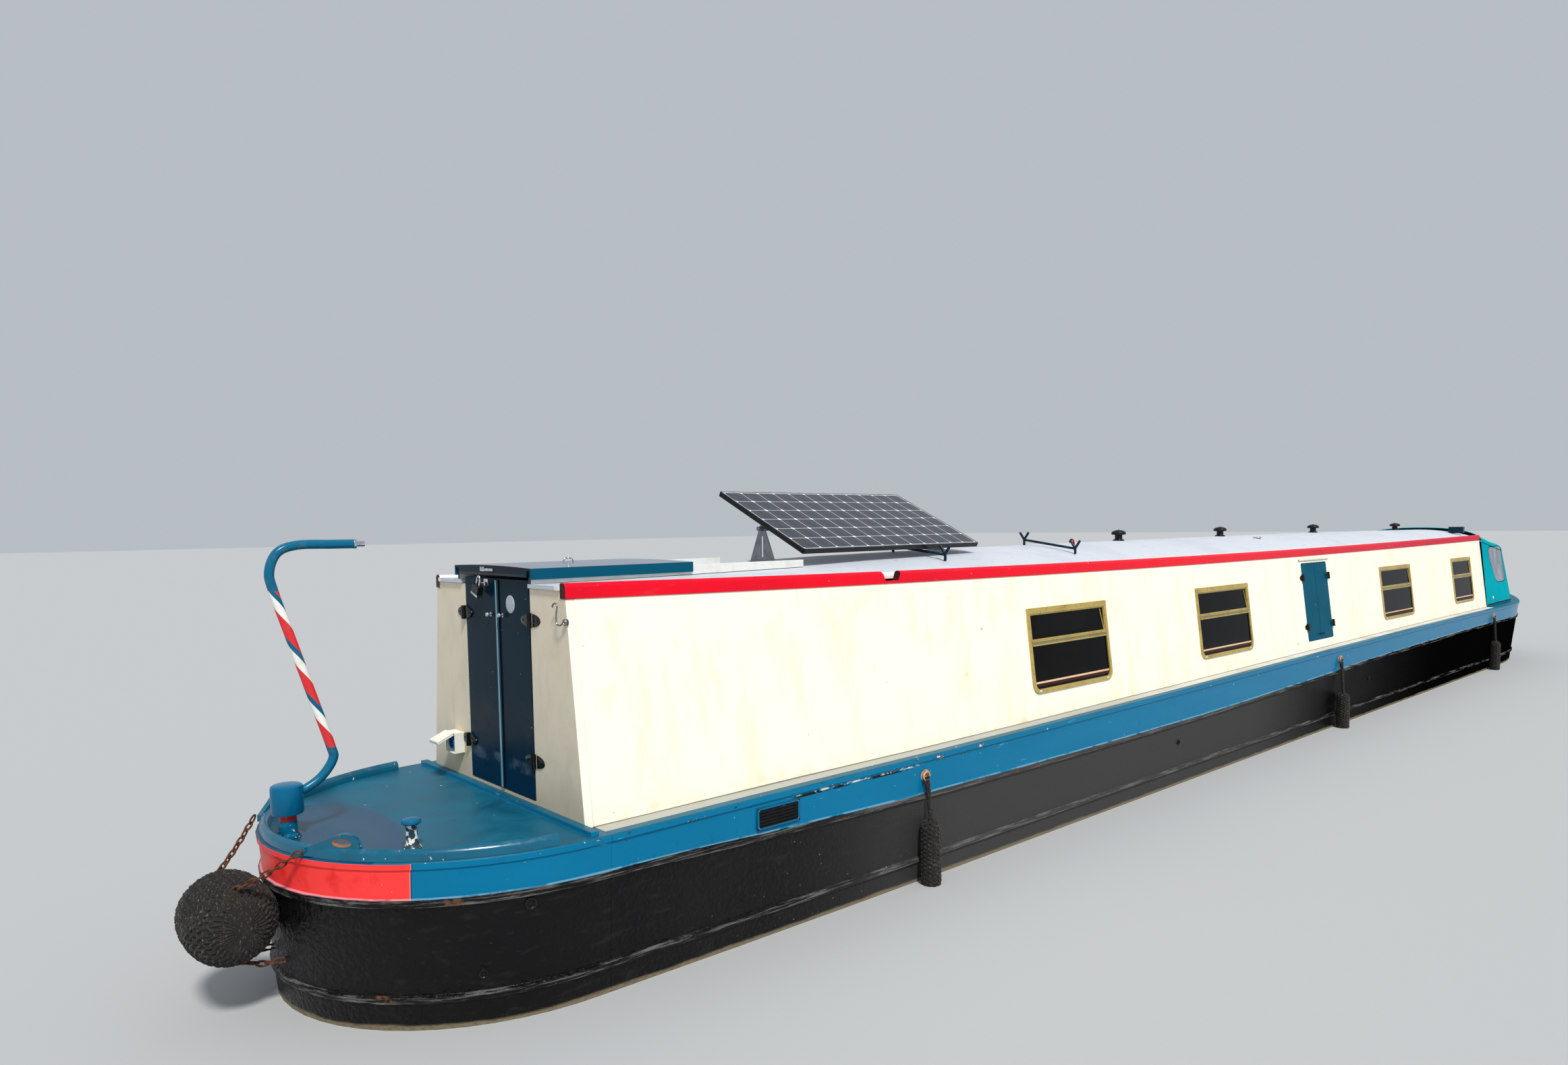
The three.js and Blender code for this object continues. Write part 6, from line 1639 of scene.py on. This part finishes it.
def make_solar_panel():
    long, wide = PANEL["length"] / 2, PANEL["width"] / 2
    low, high = PANEL["rise"] + 0.0005, PANEL["rise"] + 0.0347
    place = (Matrix.Translation(at(PANEL["x"], PANEL["y"], PANEL["z"]))
             @ Matrix.Rotation(math.radians(PANEL["yaw"]), 4, "Z")
             @ Matrix.Rotation(math.radians(PANEL["tilt"]), 4, "X"))
    bm = bmesh.new()
    rim = 0.011
    for x, y, size_x, size_y in (
            (0, wide - rim / 2, 2 * long, rim), (0, -wide + rim / 2, 2 * long, rim),
            (long - rim / 2, 0, rim, 2 * wide), (-long + rim / 2, 0, rim, 2 * wide)):
        add_block(bm, (x, y, (low + high) / 2), (size_x, size_y, high - low))
        add_block(bm, (x, y, high - 0.0008), (size_x - 0.0006, size_y, 0.0020), look=1)
        inward_x = -math.copysign(0.012, x) if x else 0.0
        inward_y = -math.copysign(0.012, y) if y else 0.0
        add_block(bm, (x + inward_x, y + inward_y, low + 0.001),
                  (size_x if y else 0.026, 0.026 if y else size_y, 0.002))
    add_block(bm, (0, 0, high - 0.0085), (2 * long - 2 * rim, 2 * wide - 2 * rim, 0.004), look=2)
    add_block(bm, (0, 0.10, high - 0.020), (0.11, 0.09, 0.016), look=0)
    add_rod(bm, (-long + 0.002, 0, 0), (long - 0.002, 0, 0), 0.0138, sides=28, look=3)
    for share in (-0.7, 0.7):
        x = long * share
        add_block(bm, (x, 0, 0.018), (0.040, 0.032, 0.036), look=3)
        bolt = [(0, 0), (0.008, 0), (0.007, 0.003), (0, 0.004)]
        add_turned(bm, bolt, (x, -0.016, 0.012), (0, -1, 0), sides=12, look=3)
    for y in (-0.25, 0.25):
        add_block(bm, (0, y, low + 0.008), (2 * long - 0.02, 0.024, 0.014), look=3)
    glass = bmesh.ops.create_grid(bm, x_segments=1, y_segments=1, size=0.5)
    face = next(f for v in glass["verts"] for f in v.link_faces)
    cells = bm.loops.layers.uv.new("cells")
    for loop in face.loops:
        loop[cells].uv = (loop.vert.co.x + 0.5, loop.vert.co.y + 0.5)
    margin = 0.006
    for v in glass["verts"]:
        v.co = Vector((v.co.x * 2 * (long - rim - margin), v.co.y * 2 * (wide - rim - margin), high - 0.0030))
    face.material_index = 4
    border = rounded_ring(long - rim, wide - rim, 0.001, 0.001, 0, 1)
    inner = rounded_ring(long - rim - margin, wide - rim - margin, 0.001, 0.001, 0, 1)
    loops = []
    for ring in (border, inner):
        verts = [bm.verts.new((p.x, p.z, high - 0.0031)) for p in ring]
        loops += [bm.edges.new((a, b)) for a, b in zip(verts, verts[1:] + verts[:1])]
    for f in bmesh.ops.bridge_loops(bm, edges=loops)["faces"]:
        f.material_index = 2
    bmesh.ops.transform(bm, verts=bm.verts, matrix=place)
    finish_piece("solar_panel_unit", bm, ["frame_black", "chrome", "white_metal", "galvanised", "cells"],
                 "solar_panel", ["solar_panel"], smooth=30)


def make_roof_socket():
    spot = on_top("roof", 8.41, -0.30)
    bm = bmesh.new()
    ring = oval(spot + Vector((0, 0, 0.010)), Vector((0.035, 0, 0)), Vector((0, 0.035, 0)), 28)
    add_tubes(bm, [ring], 0.007, closed=True)
    add_turned(bm, [(0, 0), (0.040, 0), (0.040, 0.003), (0.034, 0.006), (0, 0.006)], spot, sides=32)
    finish_piece("roof_socket", bm, ["chrome"], "boat")


def make_hatch_fittings():
    """Ring handle on the sliding hatch, and the plate under its aft edge."""
    bm = bmesh.new()
    top = at(0.447, 0.02, HATCH_TOP - 0.0012)
    add_block(bm, top + Vector((0, 0, 0.0012)), (0.080, 0.034, 0.0028))
    handle = [top + Vector((0.030 * math.cos(a), 0, 0.002 + 0.024 * math.sin(a))) for a in half_around(14)]
    add_tubes(bm, [handle], 0.0045)
    add_turned(bm, [(0, 0.018), (0.006, 0.0195), (0.0085, 0.025), (0.006, 0.0305), (0, 0.032)], top, sides=20)
    finish_piece("hatch_handle", bm, ["chrome"], "sliding_hatch", bevel=0.0008)
    bm = bmesh.new()
    add_block(bm, at(-0.01575, 0, 1.929), (0.0085, 0.786, 0.014))
    finish_piece("hatch_apron", bm, ["dark_teal"], "sliding_hatch", bevel=0.001)


def make_rack_hook():
    """Red hook that lies in the fore rack."""
    bm = bmesh.new()
    low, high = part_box("rack_fore")
    y = low.y + 0.060
    foot = Vector(((low.x + high.x) / 2, y, low.z + 0.070))
    bends = ((0, 0), (0.004, 0.030), (0.020, 0.046), (0.038, 0.036), (0.040, 0.018))
    path = [foot + Vector((0, across, up)) for across, up in bends]
    add_tubes(bm, [smooth_path(path, 5)], 0.006)
    finish_piece("rack_hook", bm, ["rail"], "boat")


def make_lamp_bezel():
    """Ring of the lamp on the fore end of the roof."""
    low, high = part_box("roof_lamp")
    bm = bmesh.new()
    middle = (low + high) / 2
    add_turned(bm, [(0, 0), (0.026, 0), (0.030, 0.003), (0.030, 0.010), (0.026, 0.014), (0, 0.015)],
               Vector((high.x - 0.004, middle.y, middle.z + 0.004)), (1, 0, 0), sides=28)
    finish_piece("roof_lamp_bezel", bm, ["chrome"], "boat")


make_vents()
make_solar_panel()
make_roof_socket()
make_hatch_fittings()
make_rack_hook()
make_lamp_bezel()


# Cratch cover: one curved sheet over the fore well, with clear side windows and bound edges
CRATCH_AFT = {"x": 14.576, "foot": 0.905, "shoulder": 0.800, "low": 0.8517, "eaves": 1.800, "crown": 1.990}
CRATCH_FORE = {"x": 15.911, "foot": 0.884, "shoulder": 0.735, "low": 0.862, "eaves": 1.640, "crown": 1.800}
COVER_LENGTH = CRATCH_FORE["x"] - CRATCH_AFT["x"]
FOLD_DEPTH = 0.0035


def cover_point(share, girth, lift=0.0):
    """Place on the cover: share from the cabin forward, girth from -1 at starboard foot to 1 at port foot."""
    now = {key: CRATCH_AFT[key] + (CRATCH_FORE[key] - CRATCH_AFT[key]) * share for key in CRATCH_AFT}
    side, eaves_at = math.copysign(1.0, girth), 0.52
    span = abs(girth)
    if span > eaves_at:
        t = (1 - span) / (1 - eaves_at)
        y, z = now["foot"] + (now["shoulder"] - now["foot"]) * t, now["low"] + (now["eaves"] - now["low"]) * t
        y -= 0.014 * math.sin(math.pi * t) * math.sin(math.pi * share)
    else:
        turn = span / eaves_at * math.pi / 2
        y = now["shoulder"] * math.sin(turn) ** 0.9 if turn else 0.0
        rise = (1 - min(1.0, y / now["shoulder"]) ** 2.4) ** 0.5
        z = now["eaves"] + (now["crown"] - now["eaves"]) * rise
        z -= 0.022 * math.sin(math.pi * share) ** 2 * math.cos(turn)
    y -= 0.004
    return at(now["x"], side * (y + lift), z + lift * (1.0 if span < eaves_at else 0.0) - 0.003)


def along_cover(girth):
    return [cover_point(0.004 + 0.992 * i / 30, girth, 0.001) for i in range(31)]


def make_cratch_cover():
    columns, rows = 44, 120
    bm = bmesh.new()
    grid = bmesh.ops.create_grid(bm, x_segments=columns, y_segments=rows, size=1.0)
    for v in grid["verts"]:
        share, girth = (v.co.x + 1) / 2, v.co.y
        fold = FOLD_DEPTH * math.sin(9 * share + 3 * girth)
        fold *= math.sin(23 * share - 14 * girth) * math.sin(math.pi * share)
        v.co = cover_point(share, girth, fold)
        v.co.x = min(max(v.co.x, AFT + CRATCH_AFT["x"]), AFT + CRATCH_FORE["x"])
    rows_of_area = sum(f.calc_area() for f in bm.faces)
    bmesh.ops.recalc_face_normals(bm, faces=bm.faces)
    if next(f for f in bm.faces if abs(f.calc_center_median().y) < 0.1).normal.z < 0:
        bmesh.ops.reverse_faces(bm, faces=bm.faces)
    cover = finish_piece("cratch_cover_sheet", bm, ["cover"], "boat", ["cratch_cover"],
                         smooth=60, recalc=False)
    thick = cover.modifiers.new("thickness", "SOLIDIFY")
    thick.thickness = 0.0012
    thick.offset = -1.0
    trims = []
    for share in (0.004, 0.996):
        trims.append([cover_point(share, -1 + 2 * i / 80, 0.0015) for i in range(81)])
    bm = bmesh.new()
    add_tubes(bm, trims, 0.0038, ring=0)
    edging = finish_piece("cratch_cover_binding", bm, ["cover_edge"], "boat", smooth=70)
    bm = bmesh.new()
    add_tubes(bm, [along_cover(side * 0.985) for side in (-1, 1)], 0.0100, ring=0)
    for side in (-1, 1):
        add_turned(bm, [(0, 0), (0.021, 0), (0.021, 0.004), (0.014, 0.008), (0, 0.009)],
                   cover_point(0.28, side * 0.94, 0.001), (0, side, 0.12), sides=24, look=1)
    details = finish_piece("cratch_cover_foot", bm, ["foot_trim", "white_plastic"], "boat", smooth=60)
    bm = bmesh.new()
    # Seams along the eaves, dark as painted shade where the cover turns down.
    add_tubes(bm, [along_cover(side * 0.53) for side in (-1, 1)], 0.0042, ring=0)
    shade_line_seams = finish_piece("cratch_cover_seams", bm, ["trim"], "boat", smooth=60)


LOOK["cover"] = canvas("cover_canvas", rgb(10, 158, 172), rgb(22, 166, 180), windows=True)
LOOK["cover_edge"] = canvas("edge_canvas", rgb(10, 158, 172), rgb(22, 166, 180))
make_cratch_cover()


def make_cratch_panes():
    bm = bmesh.new()
    x = 15.893
    for side in (-1, 1):
        ring = [(side * 0.060, 1.020), (side * 0.720, 1.020), (side * 0.640, 1.580), (side * 0.060, 1.620)]
        add_plate(bm, [at(x, y, z) for y, z in ring], Vector((0.004, 0, 0)))
    finish_piece("cratch_panes", bm, ["glass"], "boat", smooth=30)


make_cratch_panes()


# Floor at the waterline, with a soft sun and a pale sky
FLOOR_COLOUR, FLOOR_REACH = (0.47, 0.48, 0.49, 1.0), 150.0
SKY_COLOUR, SKY_STRENGTH = (0.86, 0.93, 1.0, 1.0), 0.55
SUN_COLOUR, SUN_ENERGY, SUN_WIDTH = (1.0, 0.975, 0.93), 3.0, math.radians(9)
SUN_TOWARDS = Vector((-0.24, -0.59, 0.77))


def make_stage():
    bm = bmesh.new()
    bmesh.ops.create_grid(bm, x_segments=1, y_segments=1, size=FLOOR_REACH)
    mesh = bpy.data.meshes.new("floor")
    bm.to_mesh(mesh)
    bm.free()
    floor = bpy.data.objects.new("floor", mesh)
    mesh.transform(Matrix.Translation((0, 0, WATER)))
    bpy.context.scene.collection.objects.link(floor)
    pale = bpy.data.materials.new("pale_floor")
    pale.use_nodes = True
    shader = pale.node_tree.nodes["Principled BSDF"]
    shader.inputs["Base Color"].default_value = FLOOR_COLOUR
    shader.inputs["Roughness"].default_value = 0.9
    mesh.materials.append(pale)
    world = bpy.data.worlds.new("studio")
    world.use_nodes = True
    sky = world.node_tree.nodes["Background"]
    sky.inputs["Color"].default_value = SKY_COLOUR
    sky.inputs["Strength"].default_value = SKY_STRENGTH
    bpy.context.scene.world = world
    light = bpy.data.lights.new("key", "SUN")
    light.energy, light.angle, light.color = SUN_ENERGY, SUN_WIDTH, SUN_COLOUR
    key = bpy.data.objects.new("key", light)
    key.rotation_mode = "QUATERNION"
    key.rotation_quaternion = SUN_TOWARDS.to_track_quat("Z", "Y")
    bpy.context.scene.collection.objects.link(key)
    bpy.context.scene.view_settings.view_transform = "Standard"


make_stage()
